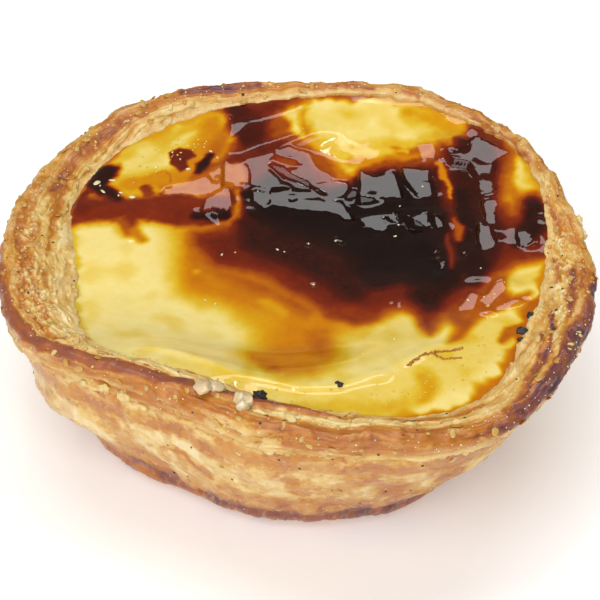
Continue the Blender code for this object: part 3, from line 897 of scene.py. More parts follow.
# %% Outlines of the large browned shapes, on the drawn sheet
ROLL = (  # the skin rolled back at the left
    (-31, 14.6), (-28, 15), (-24, 14.4), (-20, 14.4), (-17, 14.8), (-14, 14.2), (-11, 14.8), (-9.2, 14),
    (-8.6, 11), (-9, 9), (-10.6, 7.4), (-13.4, 6.8), (-16.6, 7.8), (-19.4, 9.2), (-21.4, 9), (-22.8, 6.2),
    (-24.4, 9), (-27, 9.4), (-31, 9),
)
SKIN = (  # the brown skin over the back and the middle
    (-13.6, 36), (-13, 34.4), (-10.4, 33.2), (-8.6, 31.2), (-9, 29.4), (-7.8, 28), (-9.4, 26),
    (-9.6, 24.2), (-10.8, 22), (-13, 21.4), (-14.4, 18.6), (-14, 16), (-11, 14), (-8.6, 12.5),
    (-7.4, 10.5), (-8.6, 8.3), (-11, 7), (-14.4, 6), (-14.2, 3), (-12.6, 0), (-11, -2), (-7, -3.4),
    (-4, -5), (-1.4, -7.8), (1.5, -10), (4, -12.4), (7, -14.4), (10, -13.4), (11.6, -11.4), (13.2, -10.6),
    (14.6, -12.2), (15.6, -14.8), (16.3, -15.8), (17.2, -14.2), (18.6, -11.8), (20, -10.6), (22, -8.4),
    (24.2, -6), (26, -3.4), (28, -1.6), (31, -0.5), (34, 0.5), (34.5, 6), (33.5, 10.5), (31.5, 12),
    (29, 11), (28, 8.5), (26.8, 11), (27.2, 16), (28.5, 20), (27.8, 23), (26, 26.2), (24, 27.2),
    (21.5, 25.2), (19, 23.8), (17.5, 21.2), (15, 20.3), (11, 19.8), (8, 18.8), (6.3, 16.8), (5.2, 17.4),
    (4, 18.6), (2.6, 21.4), (0.6, 24.4), (-0.8, 26), (-2.6, 27.8), (-2.2, 29.6), (-3.4, 31.2), (-1.8, 33),
    (0.4, 34.2), (1, 36),
)
BLACK_FOLDS = (  # its darkest folds
    (-9, 15.5), (-6, 17.2), (-3.6, 18.6), (-2, 17.6), (1, 16.4), (3.4, 14.6), (6.2, 15.2), (7.4, 17.2),
    (9.5, 18.4), (16, 19), (18.2, 18), (18.5, 14), (19.5, 10), (20.2, 5), (20.8, 0), (21.6, -2.6),
    (20.6, -6), (18.4, -7.6), (15.5, -6.6), (13, -5.6), (9.5, -6.6), (7.2, -4), (5.6, -0.6), (2, 3),
    (-2.4, 5), (-5.4, 7), (-7.6, 9.4), (-7.2, 12), (-8.5, 13.4),
)
RIGHT_RIDGE = (  # the tall ridge at the right
    (20.4, 22.4), (22.4, 24), (25, 24.4), (26.4, 21.5), (26.4, 18), (25.6, 14), (25.8, 8), (26.6, 4),
    (25.4, -1), (23, -5.5), (21, -5.5), (20.8, 0), (21.6, 8), (20.6, 14), (20.2, 19),
)
POOL_AMBER = (  # the stain under the pool and in front of it
    (-17, 6.6), (-16.6, 0), (-16.4, -4), (-15.8, -7.4), (-14, -9), (-11, -10), (-9, -11.4), (-7.6, -13.4),
    (-6, -16), (-6, -18.6), (-7.6, -20.4), (-6, -21.8), (-3.8, -22.8), (-1.6, -24.2), (1.4, -24.6),
    (4, -23.2), (5.4, -20.6), (5.4, -17.6), (7.6, -15.6), (11, -13.6), (14, -12), (18, 0), (0, 8),
)
FLOW = (  # the flow at the right front
    (18.4, -11), (20.4, -9.6), (22.4, -7), (25, -3.8), (27, -3.4), (26.6, -5.6), (27.6, -7.2),
    (29.6, -6.4), (29, -7.8), (26.4, -9.8), (24, -11), (22.6, -12.4), (21.4, -14.4), (20.2, -16.4),
    (18.8, -17.2), (19.4, -14),
)
print("points of the skin's outline:", len(SKIN))

# %% Strokes of caramel, from light to dark
CARAMEL_LAYERS = (
    # the shelf in front, and the yellow at the back left
    (0.13, 1.6, ((-16, -22.6, 1), (-6, -26, 1.8), (3, -28.6, 2.4), (12, -27, 3.4), (19, -22, 3.6),
     (25, -14, 3))),
    (0.24, 1.2, ((1, -30.5, 0.9), (8, -30.4, 1.2), (13, -29.6, 1.2))),
    (0.3, 0.9, ((15.6, -23.6, 1), (16.4, -26.4, 1.2), (15.2, -28.6, 0.9))),
    (0.17, 1.6, ((-27, 22, 2.4), (-22, 25.5, 3.6), (-17, 29, 3.6), (-12, 32.5, 1.6))),
    (0.38, 1.6, ((-23, 17.6, 2.2), (-15, 19, 3))),
    (0.26, 1.2, ((-19, 28.6, 1.2), (-17, 27.6, 1.8), (-13.6, 30.4, 1.8))),
    (0.36, 1.5, ((-12.6, 31.6, 1.2), (-12.8, 27, 1.6), (-14.4, 22.4, 1.6))),
    (0.09, 0.9, ((-23.6, 22, 1), (-20.6, 25.2, 1))),
    (0.08, 0.7, ((-17, 26.4, 0.5), (-15.4, 28.6, 0.5))),
    # amber of the pool
    (0.22, 1.6, POOL_AMBER, 1.1),
    (0.34, 1.5, POOL_AMBER, -0.6),
    (0.43, 1.5, ((-13.8, 5, 1.2), (-14, -1, 1.5), (-13, -5, 1.8), (-8.6, -6.8, 2.4), (-3.4, -9.4, 2.6),
     (2, -13, 2.4))),
    (0.42, 1.8, ((1, -14.5, 3.6), (0.2, -18, 3.8), (-1.2, -20.8, 3.2))),
    (0.48, 1.2, ((2.4, -16.6, 1.4), (2.6, -19.6, 1.2))),
    (0.49, 0.9, ((-6.2, -20.8, 0.6), (-4.2, -21.6, 1), (-2.8, -22.6, 0.6))),
    (0.52, 1.4, ((-14, 4, 0.8), (-13.4, 0.5, 0.9), (-9.4, -3.8, 1.4), (-3.6, -7.2, 1.4),
     (0.6, -11.2, 1.3))),
    (0.3, 0.5, ((-13.4, -2.6, 0.45),)),
    (0.33, 0.8, ((-4.4, -9.6, 0.8), (-2.8, -12, 0.9))),
    # amber and orange halos
    (0.38, 1.1, ROLL, 0.8),
    (0.42, 1, SKIN, 0.6),
    (0.4, 1.2, ((-12, 31, 1.4), (-12.4, 26, 2), (-14.4, 20, 2.4), (-17.6, 16.8, 1.8))),
    (0.47, 1, ((-11.6, 24.4, 1.4), (-10.6, 28, 1.1), (-9.8, 30.4, 0.8))),
    (0.44, 1, ((0.4, 32, 0.7), (1, 27.6, 0.8), (2.6, 24, 1.4), (4.6, 19.5, 1.4), (6.4, 17.6, 0.8))),
    (0.22, 1.6, ((3, 25, 1.4), (5.4, 22.6, 1.6), (9, 23.6, 1.8), (15, 24, 1.6), (20, 26, 1.6))),
    (0.4, 0.9, ((7, 20.6, 0.8), (13, 21, 0.9), (17.5, 22.6, 1.2))),
    (0.44, 1, ((28.6, 21, 0.7), (28, 15, 0.9), (28.6, 9, 1.3))),
    (0.5, 0.5, ((29, -13, 0.6), (27, -14.6, 0.9), (25.8, -16.6, 0.5))),
    (0.4, 0.7, FLOW, 0.5),
    (0.53, 0.7, FLOW, -0.2),
    # red-brown skin
    (0.66, 0.8, ROLL),
    (0.62, 1.3, SKIN),
    (0.71, 1.3, SKIN, -1.6),
    (0.54, 0.8, ((-24, 9.6, 0.5), (-22.6, 6.4, 0.8))),
    (0.42, 0.7, ((-22, 6.4, 0.8), (-21, 4.6, 0.8))),
    (0.5, 0.8, ((-14, 18.5), (-10.6, 21.6), (-7.4, 21.2), (-7, 17.4), (-7.4, 13.6), (-9.6, 14.6),
     (-13.6, 14.6), (-18, 15), (-18.4, 16.2), (-15, 17.2))),
    (0.62, 1.2, ((4.6, -11.6, 1.4), (8.4, -12.4, 1.6))),
    (0.86, 1.6, ((-7.8, 8, 1), (-5, 4, 2.8), (0, 1, 3.2), (4.4, -3, 2.6), (7.2, -7, 2))),
    (0.8, 1.2, ((-8.6, 34, 1.4), (-7.2, 29, 2), (-6.2, 25.6, 1.6))),
    (0.72, 0.9, ((-8, 23.2, 0.6), (-4.6, 25.2, 0.8), (-1.6, 26.2, 0.7))),
    (0.56, 0.9, ((-3, 30, 1.2), (-2.6, 28, 0.8), (1, 23.8, 0.9), (3.2, 19.9, 1))),
    (0.6, 0.9, ((-3, 22, 0.9), (-1.4, 21, 1.1))),
    (0.6, 0.6, ((8.5, 19.4, 0.4), (13, 20, 0.5), (17, 20.7, 0.6))),
    # near black
    (0.92, 1.3, BLACK_FOLDS),
    (1, 2, BLACK_FOLDS, -2),
    (0.9, 1.4, ((16.6, -8, 2.2), (17, -10, 1))),
    (0.9, 0.8, ((-13.6, 9.4, 0.9), (-10.8, 9.6, 1.6))),
    # Painted light: an orange line along the roll's lower edge, where its overhang is lit.
    (0.46, 0.5, ((-8.6, 15.6, 0.5), (-8.2, 12.6, 0.5), (-8.6, 9.8, 0.4), (-10, 7.9, 0.35),
     (-13, 6.8, 0.3), (-16.4, 7.2, 0.2))),
    (0.84, 0.9, RIGHT_RIDGE),
    (0.92, 0.8, ((21.6, 13, 0.6), (22.6, 4, 1.4), (22.4, -2, 1.6))),
    (0.68, 0.9, ((23.6, 26, 1.1), (26.2, 23, 0.8), (27, 19.5, 0.6))),
    (0.88, 0.8, ((31, 9.5, 1.3), (30.8, 5.6, 1.8), (29, 3.2, 1.6))),
    (0.66, 0.8, ((29, 0.6, 0.8), (32.4, 1.2, 0.8))),
    (0.5, 0.5, ((12.8, 23.2, 0.5), (13.6, 22.4, 0.6), (15, 22.6, 0.5), (17.2, 23.2, 0.8))),
    (0.88, 0.8, ((-28.2, 20, 1.2), (-25.6, 21.6, 1.2), (-27.4, 17.4, 1.6), (-24.6, 14.8, 0.8))),
    (0.7, 0.7, ((-29, 16, 1), (-29.4, 12, 1))),
    (0.7, 0.3, ((-17.8, 24.4), (-16.4, 25.6), (-14.8, 25), (-14.2, 24), (-15.2, 22.8), (-15, 20.8),
     (-16.4, 20.4), (-17.8, 22.4))),
    (0.9, 0.45, ((-12.2, 23.6, 0.5), (-13, 21.6, 0.9), (-13.6, 19.8, 0.5))),
    (0.62, 0.35, ((-20.8, 16.4, 0.9), (-20, 15, 0.9))),
    (0.52, 0.25, ((-19.4, 20.2, 0.15), (-18.4, 20.7, 0.15), (-17.8, 19.6, 0.15), (-17.6, 18, 0.15))),
    # clean islands; the dome at the back is painted a little darker as shade, with painted highlights on it
    # and along the front lip
    # The dome at the back: pale custard, painted a little darker as painted shade, because the back of the
    # tart lies in less light.
    (0.11, 1.5, ((2.4, 31, 1.4), (8, 29.2, 2.4), (13, 27.8, 2.2), (17.4, 27, 0.8))),
    # Painted highlights: the three palest spots on the dome, in this stroke and the next two.
    (0.03, 1.2, ((3, 32.4, 0.6),)),
    (0.03, 1, ((9.6, 28.2, 0.8), (11.4, 26.6, 0.6))),
    (0.04, 0.8, ((13.6, 25.8, 0.5), (15.4, 25.2, 0.3))),
    (0.16, 0.5, ((7.6, 22.4, 0.3), (11, 22.9, 0.3), (14.4, 22.6, 0.25))),
    (0.34, 1.2, ((15, 29.8, 1), (18, 28.6, 1.4), (21, 26.4, 1.4))),
    (0.14, 0.9, ((31, 18.5, 0.9), (31, 14.2, 1.3))),
    (0.15, 0.8, ((28.4, -4.2, 1.1), (31.4, -3.2, 1.3))),
    (0.09, 1.1, ((13.4, -13.2, 0.9), (12, -16.6, 2.4), (8.6, -20.4, 2))),
    # Painted highlight: a pale line along the front lip.
    (0.06, 0.9, ((2, -26.2, 0.3), (8, -24.2, 0.9), (14, -19.8, 0.8), (17.6, -17.2, 0.4))),
    (0.26, 0.6, ((18.8, 25.4, 0.9), (20.4, 24.6, 0.6))),
    (0.4, 0.25, ((18.6, 20, 0.5), (19.2, 17, 0.4), (20, 14.4, 0.35), (20.4, 12, 0.2))),
    (0.55, 0.45, ((20.6, 7.4, 0.3), (21.3, 5.6, 0.8), (21.4, 3.4, 0.5))),
    (0.64, 0.5, ((19.9, 4.4, 0.3), (20.1, 1, 0.5), (19.8, -1.8, 0.3))),
)
print("strokes of caramel:", len(CARAMEL_LAYERS))

# %% Browning beside the pastry
EDGE_BAKES = (
    # where the custard met hot pastry: middle and spread in degrees, level, width in mm
    (176, 16, 0.24, 1.2), (206, 20, 0.22, 1.3), (276, 12, 0.24, 1.6), (292, 9, 0.34, 1.4),
    (312, 16, 0.45, 2.2), (336, 10, 0.5, 2.2), (352, 8, 0.4, 1.4), (24, 14, 0.32, 1.1),
    (60, 16, 0.36, 1.5), (82, 9, 0.56, 1.3), (120, 14, 0.34, 1.6), (142, 8, 0.5, 1.2),
)


def edge_bake(level, angle, from_edge):
    """Browns a ragged strip along the pastry, where it isn't darker already."""
    ring = np.stack([np.cos(angle), np.sin(angle), 0 * angle], 1) * RIM_RADIUS
    ragged = 0.85 + 0.9 * crumb_noise(ring / 3.4, 111, 2)
    for middle, spread, new_level, width in EDGE_BAKES:
        turn = turned_away(angle, middle)
        width = width * ragged * np.exp(-((turn / math.radians(spread)) ** 4))
        mask = smooth_step(width, 0.3 * width - 0.3, from_edge) * (width > 0.05)
        level = np.where(level < new_level, level + (new_level - level) * mask, level)
    return level


# %% The baking level anywhere on the sheet
def caramel_level(x, y):
    """The baking level at places on the drawn sheet, with the edges made to creep."""
    place = np.stack([x, y, 0 * x], 1)
    restless = 0.12 + 0.26 * smooth_step(6.0, 10.0, y) + 0.26 * smooth_step(-20.0, -24.0, y)
    creep_x = x + restless * crumb_noise(place / 2.6, 81, 3) + 0.5 * noise(place / 6.0, 85)
    creep_y = y + restless * crumb_noise(place / 2.6, 91, 3) + 0.5 * noise(place / 6.0, 95)
    level = paint(0.035 + 0.0 * x, creep_x, creep_y, CARAMEL_LAYERS)
    level = level + smooth_step(0.30, 0.10, level) * 0.09 * smooth_step(-0.1, 0.7, noise(place / 3.6, 98))
    return level + (0.01 + 0.05 * restless * smooth_step(0.1, 0.3, level)) * crumb_noise(place / 3.0, 97, 4)


# %% [markdown]
# ### Height of the custard
# The sunken pool and the folds give the large form. The patches then have to lean by a
# given slope while the skin between them stays flat. No formula gives such a height, so
# it is found by balance: every pair of neighbouring points asks for the drop that its
# slope wants, and the heights settle where all pulls are even (conjugate gradients).
# Creases form by themselves where two wishes meet.

# %% How a sheet settles
LEAN = 0.37  # slope of a leaning patch
MIRROR_SLOPES = (0.20, 0.60)  # skin between the patches keeps out of this range
HOLD = 0.0004  # how strongly the sheet clings to the large form
PATCH_PULL, SKIN_PULL, CREASE_PULL = 3.0, 0.40, 0.010  # how much each slope is trusted
SETTLE_STEPS = 320
SHEET_LOOKUPS = 3  # times that the folds are looked up again on the sheet as it now lies
side = CUSTARD_CELLS + 1


def squares(values):
    return values.reshape(side, side)


def pull_back(height, pull_a, pull_b):
    """What the neighbours and the large form ask of each height."""
    total = HOLD * height
    along_a = pull_a * np.diff(height, axis=0)
    along_b = pull_b * np.diff(height, axis=1)
    total[:-1] -= along_a
    total[1:] += along_a
    total[:, :-1] -= along_b
    total[:, 1:] += along_b
    return total


def settle(form, lean, trust):
    """Heights over the form whose slope along y comes to lean wherever the trust is high."""
    form, lean, trust, place_y = squares(form), squares(lean), squares(trust), squares(top_y)
    pulls, wishes = [], np.zeros_like(form)
    for axis in (0, 1):
        first = (slice(None, -1), slice(None)) if axis == 0 else (slice(None), slice(None, -1))
        second = (slice(1, None), slice(None)) if axis == 0 else (slice(None), slice(1, None))
        pull = np.minimum(trust[first], trust[second])
        drop = 0.5 * (lean[first] + lean[second]) * np.diff(place_y, axis=axis) - np.diff(form, axis=axis)
        wishes[first] -= pull * drop
        wishes[second] += pull * drop
        pulls.append(pull)
    height = np.zeros_like(form)
    rest = wishes.copy()
    step = rest.copy()
    strength = (rest * rest).sum()
    for _ in range(SETTLE_STEPS):
        pulled = pull_back(step, *pulls)
        size = strength / (step * pulled).sum()
        height += size * step
        rest -= size * pulled
        new_strength = (rest * rest).sum()
        step = rest + new_strength / strength * step
        strength = new_strength
    return height.ravel()


# %% Height of the custard
def fold_height(x, y):
    total = 0.0
    for size, half_width, path in FOLDS:
        centre_line = [(px, py, 0.0) for px, py in path]
        total = total + size * np.exp(-((stroke_distance(x, y, centre_line) / half_width) ** 2))
    return total


middle_level = TART_HEIGHT - MIDDLE_DROP
level = middle_level + (edge_level - 0.1 - middle_level) * disc_share**DISH_POWER
inside = 1 - smooth_step(0.93, 1.0, disc_share)
top_z = level - sink
for _ in range(SHEET_LOOKUPS):
    sheet_y = sheet_place(top_z - level)
    form = level - sink + fold_height(top_x, sheet_y) * inside
    edge_of_patch = leaning(top_x, sheet_y)
    in_patch = smooth_step(0.12, -0.12, edge_of_patch)
    near_patch = smooth_step(0.8, 0.35, edge_of_patch) * (1 - in_patch)
    form_slope = np.gradient(squares(form), axis=1) / np.gradient(squares(top_y), axis=1)
    free_slope = form_slope.ravel()
    steep = free_slope > sum(MIRROR_SLOPES) / 2
    flatter = np.minimum(free_slope, MIRROR_SLOPES[0])
    free_slope = np.where(steep, np.maximum(free_slope, MIRROR_SLOPES[1]), flatter)
    lean = in_patch * LEAN + (1 - in_patch) * free_slope
    trust = PATCH_PULL * in_patch + (1 - in_patch) * (1 - near_patch) * SKIN_PULL + CREASE_PULL * near_patch
    top_z = form + settle(form, lean, trust) * inside
caramel = caramel_level(top_x, sheet_y)
caramel = edge_bake(caramel, disc_angle, edge_radius - top_r)
skin = smooth_step(0.45, 0.80, caramel)
still = smooth_step(0.90, 1.0, sink / POOL_DEPTH)  # 1 on the pool's liquid, flat middle
place = np.stack([top_x, sheet_y, 0 * top_x], 1)
top_z += skin * inside * 0.10 * facets(top_x / 3.0, sheet_y / 2.6, 101, 6.0) * (1 - still)
top_z += inside * (0.06 * noise(place / 4.0, 104) + 0.012 * noise(place / 1.1, 105))
print("caramel level from", caramel.min().round(2), "to", caramel.max().round(2))
print("custard height from", top_z.min().round(2), "to", top_z.max().round(2), "mm")

# %% Close the custard below and make the piece
CUSTARD_SIDES = (  # height in mm and share of the outline of each ring below the top
    (22.0, 0.97), (16.0, 0.86), (FLOOR_THICKNESS + 1.5, 0.70),
)
index = np.arange(side * side).reshape(side, side)
top_faces = np.stack([index[:-1, :-1], index[1:, :-1], index[1:, 1:], index[:-1, 1:]], 2).reshape(-1, 4)
border = np.concatenate([index[:-1, 0], index[-1, :-1], index[:0:-1, -1], index[0, :0:-1]])
custard_points = [np.stack([top_x, top_y, top_z], 1)]
custard_faces = top_faces.tolist()
previous = border
border_xy = custard_points[0][border]
count = side * side
for height, shrink in CUSTARD_SIDES:
    ring = border_xy * np.array([shrink, shrink, 0.0]) + np.array([0, 0, height])
    custard_points.append(ring)
    current = np.arange(len(border)) + count
    count += len(border)
    after = np.roll(np.arange(len(border)), -1)
    custard_faces += np.stack([previous, current, current[after], previous[after]], 1).tolist()
    previous = current
custard_faces.append(previous[::-1].tolist())
custard_points = np.vstack(custard_points)
below = len(custard_points) - side * side
custard_bake = np.concatenate([caramel, np.full(below, 0.2)])
custard = new_piece("custard", custard_points, custard_faces, {"caramel": custard_bake})

# %% [markdown]
# ## Colours
# Colours are written as the familiar hex codes and turned into the linear values that
# Blender works in. A ramp of listed stops turns one number, how far something has
# baked, into a colour, so the browning stays believable in between.


# %% Colour and node helpers
def linear(code):
    values = [int(code[i:i + 2], 16) / 255 for i in (0, 2, 4)]
    return [v / 12.92 if v <= 0.04045 else ((v + 0.055) / 1.055) ** 2.4 for v in values] + [1.0]


def add_node(tree, kind, inputs=None, **settings):
    node = tree.nodes.new(kind)
    for key, value in settings.items():
        setattr(node, key, value)
    for key, value in (inputs or {}).items():
        if isinstance(value, bpy.types.NodeSocket):
            tree.links.new(value, node.inputs[key])
        else:
            node.inputs[key].default_value = value
    return node


def colour_ramp(tree, value, stops):
    ramp = add_node(tree, "ShaderNodeValToRGB", {"Fac": value})
    elements = ramp.color_ramp.elements
    while len(elements) < len(stops):
        elements.new(1.0)
    for element, (place, code) in zip(elements, stops):
        element.position = place
        element.color = linear(code)
    return ramp.outputs["Color"]


def attribute(tree, name, output="Fac"):
    return add_node(tree, "ShaderNodeAttribute", attribute_name=name).outputs[output]


def fine_noise(tree, vector, scale, detail, roughness):
    return add_node(tree, "ShaderNodeTexNoise", {
        "Vector": vector, "Scale": scale, "Detail": detail, "Roughness": roughness,
    }).outputs["Fac"]


def arithmetic(tree, operation, *values):
    return add_node(tree, "ShaderNodeMath", dict(enumerate(values)), operation=operation).outputs[0]


def times(tree, first, second):
    return arithmetic(tree, "MULTIPLY", first, second)


# %% Material helpers
def new_material(name, **finish):
    """A material and its surface node. The finish names the surface's inputs and their values."""
    material = bpy.data.materials.new(name)
    material.use_nodes = True
    surface = material.node_tree.nodes["Principled BSDF"]
    for label, value in finish.items():
        surface.inputs[label.replace("_", " ")].default_value = value
    print("material:", name)
    return material, material.node_tree, surface


def cover(tree, surface, colour, strength, distance, height):
    """Gives a surface its colour and its bump."""
    tree.links.new(colour, surface.inputs["Base Color"])
    bump = add_node(tree, "ShaderNodeBump", {"Strength": strength, "Distance": distance, "Height": height})
    tree.links.new(bump.outputs["Normal"], surface.inputs["Normal"])


# %% [markdown]
# ### Baked pastry
# The baking level comes from the mesh. Noise stretched round the tart adds the streaks of
# single sheets that are too thin to model, and two torn patterns repeat the leaves at a
# size below the mesh, in colour and as bump. Butter turns bare dough amber; on the rim the
# same amber is also painted shade in the creases. Frost is the dry, pale, broken edge of a
# leaf; on the rim it is also a painted highlight on the tops of crumbs and strands.

# %% Colours of baking, and torn patterns
PASTRY_STOPS = (
    (0.00, "F0D9A0"), (0.16, "E2BF72"), (0.30, "D3A04A"), (0.44, "C27D2C"), (0.56, "AB6029"),
    (0.68, "915038"), (0.80, "73403F"), (0.90, "50353A"), (1.00, "33262A"),
)
# The amber colours butter-soaked dough, and on the rim it is also painted shade in the creases. The cream
# colours dry leaf edges, and on the rim it is also a painted highlight on the tops.
BUTTER_AND_SHADE_AMBER = "C47C1C"
FROST_AND_HIGHLIGHT_CREAM = "EDDAA8"


def torn_mask(tree, vector, scale, half_width, middle=0.5):
    """A noise cut at its middle level: 0 and 1 with a ragged, nearly crisp edge."""
    source = fine_noise(tree, vector, scale, 8.0, 0.62)
    return add_node(tree, "ShaderNodeMapRange", {
        "Value": source, "From Min": middle - half_width, "From Max": middle + half_width,
    }, interpolation_type="SMOOTHSTEP").outputs["Result"]


def weighted_sum(tree, start, terms):
    """start plus amount x (value - centre) for each term."""
    total = start
    for value, centre, amount in terms:
        centred = arithmetic(tree, "ADD", value, -centre)
        total = arithmetic(tree, "MULTIPLY_ADD", centred, amount, total)
    return total


MIX_UNDER, MIX_OVER, MIX_RESULT = 6, 7, 2  # places of the colour sockets on a Mix node


def mix_colour(tree, factor, under, code):
    mixed = add_node(tree, "ShaderNodeMix", {
        "Factor": factor, MIX_UNDER: under, MIX_OVER: linear(code),
    }, data_type="RGBA", blend_type="MIX")
    return mixed.outputs[MIX_RESULT]


# %% Pastry material
def pastry_material(name):
    material, tree, surface = new_material(
        name, Roughness=0.42, Specular_IOR_Level=0.35, Subsurface_Weight=0.28,
        Subsurface_Radius=(1.0, 0.55, 0.22), Subsurface_Scale=0.0011, Coat_Weight=0.30,
        Coat_Roughness=0.22,
    )
    bake = attribute(tree, "bake")
    butter = attribute(tree, "butter")
    frost_and_top_highlight = attribute(tree, "frost_and_top_highlight")
    grain = attribute(tree, "grain", "Vector")
    place = add_node(tree, "ShaderNodeTexCoord").outputs["Object"]
    streaks = fine_noise(tree, grain, 1.8, 5.0, 0.6)
    mottle = fine_noise(tree, place, 520.0, 5.0, 0.65)
    small_leaf = torn_mask(tree, place, 360.0, 0.05)
    speckle = torn_mask(tree, place, 1500.0, 0.05, 0.60)
    level = weighted_sum(tree, bake, (
        (streaks, 0.5, 0.12), (mottle, 0.5, 0.16), (small_leaf, 0.5, -0.035),
    ))
    colour = colour_ramp(tree, level, PASTRY_STOPS)
    # Amber of butter, partly painted crease shade on the rim, then cream of frost, partly painted highlight
    # on the rim.
    colour = mix_colour(tree, times(tree, butter, 0.75), colour, BUTTER_AND_SHADE_AMBER)
    dry = arithmetic(tree, "MULTIPLY_ADD", small_leaf, 0.30, 0.30)
    dry = arithmetic(tree, "MULTIPLY_ADD", speckle, 0.35, dry)
    colour = mix_colour(tree, times(tree, dry, frost_and_top_highlight), colour, FROST_AND_HIGHLIGHT_CREAM)
    heights = weighted_sum(tree, streaks, (
        (mottle, 0.0, 1.0), (small_leaf, 0.0, 0.30), (speckle, 0.0, 0.15),
    ))
    cover(tree, surface, colour, 0.5, 0.00022, heights)
    return material


baked_pastry = pastry_material("baked puff pastry")
for piece in (pastry_wall, pastry_rim):
    piece.data.materials.append(baked_pastry)

# %% [markdown]
# ### Custard and caramel
# One material covers both, because one turns into the other. The pale part is soft and
# lets light in; the caramel is a wet, dark film, so a clear coat gives every part its
# shine and the facets of the skin their grey reflections.

# %% Custard material
CARAMEL_STOPS = (
    (0.00, "F2DF92"), (0.10, "EACE6A"), (0.20, "DEBA34"), (0.31, "D69C0A"), (0.42, "C97A03"),
    (0.52, "AD5508"), (0.64, "80290C"), (0.76, "51170A"), (0.88, "2E1108"), (1.00, "1A0C07"),
)
custard_material, tree, surface = new_material(
    "custard and caramel", Roughness=0.40, Specular_IOR_Level=0.0, Subsurface_Weight=0.20,
    Subsurface_Radius=(1.0, 0.6, 0.15), Subsurface_Scale=0.0015, Coat_Weight=0.9, Coat_Roughness=0.07,
)
place = add_node(tree, "ShaderNodeTexCoord").outputs["Object"]
mottle = fine_noise(tree, place, 900.0, 4.0, 0.6)
shade = weighted_sum(tree, attribute(tree, "caramel"), ((mottle, 0.5, 0.08),))
cover(tree, surface, colour_ramp(tree, shade, CARAMEL_STOPS), 0.12, 0.0002, mottle)
custard.data.materials.append(custard_material)

# %% [markdown]
# ## Crumbs, beads and flecks
# Loose bits make the tart look freshly baked: crumbs where the dough broke up, pale beads
# that are painted glints of light, specks of soot, and small bubbles in the custard. One
# node tree scatters all of them; only its settings differ. A share stored on the piece
# below says where the bits may lie. Each kind ends up as one plain mesh.


# %% A node tree that scatters bits over a piece
SCATTER_INPUTS = (
    ("Geometry", "Geometry"), ("Per square mm", "Float"), ("Gap", "Float"), ("Smallest", "Float"),
    ("Largest", "Float"), ("Stretch", "Float"), ("Flatness", "Float"), ("Tilt", "Float"),
    ("Lumpiness", "Float"), ("Detail", "Int"), ("Level name", "String"), ("Level from", "Float"),
    ("Level to", "Float"), ("Seed", "Int"), ("Material", "Material"),
)
FLOAT_FROM, FLOAT_TO, RANDOM_SEED = 2, 3, 8  # places of the sockets on a Random Value node
LUMP_SCALE = 1700.0  # lumps in a metre


def random_number(tree, low, high, seed):
    node = add_node(tree, "FunctionNodeRandomValue", {FLOAT_FROM: low, FLOAT_TO: high, RANDOM_SEED: seed})
    return node.outputs[1]


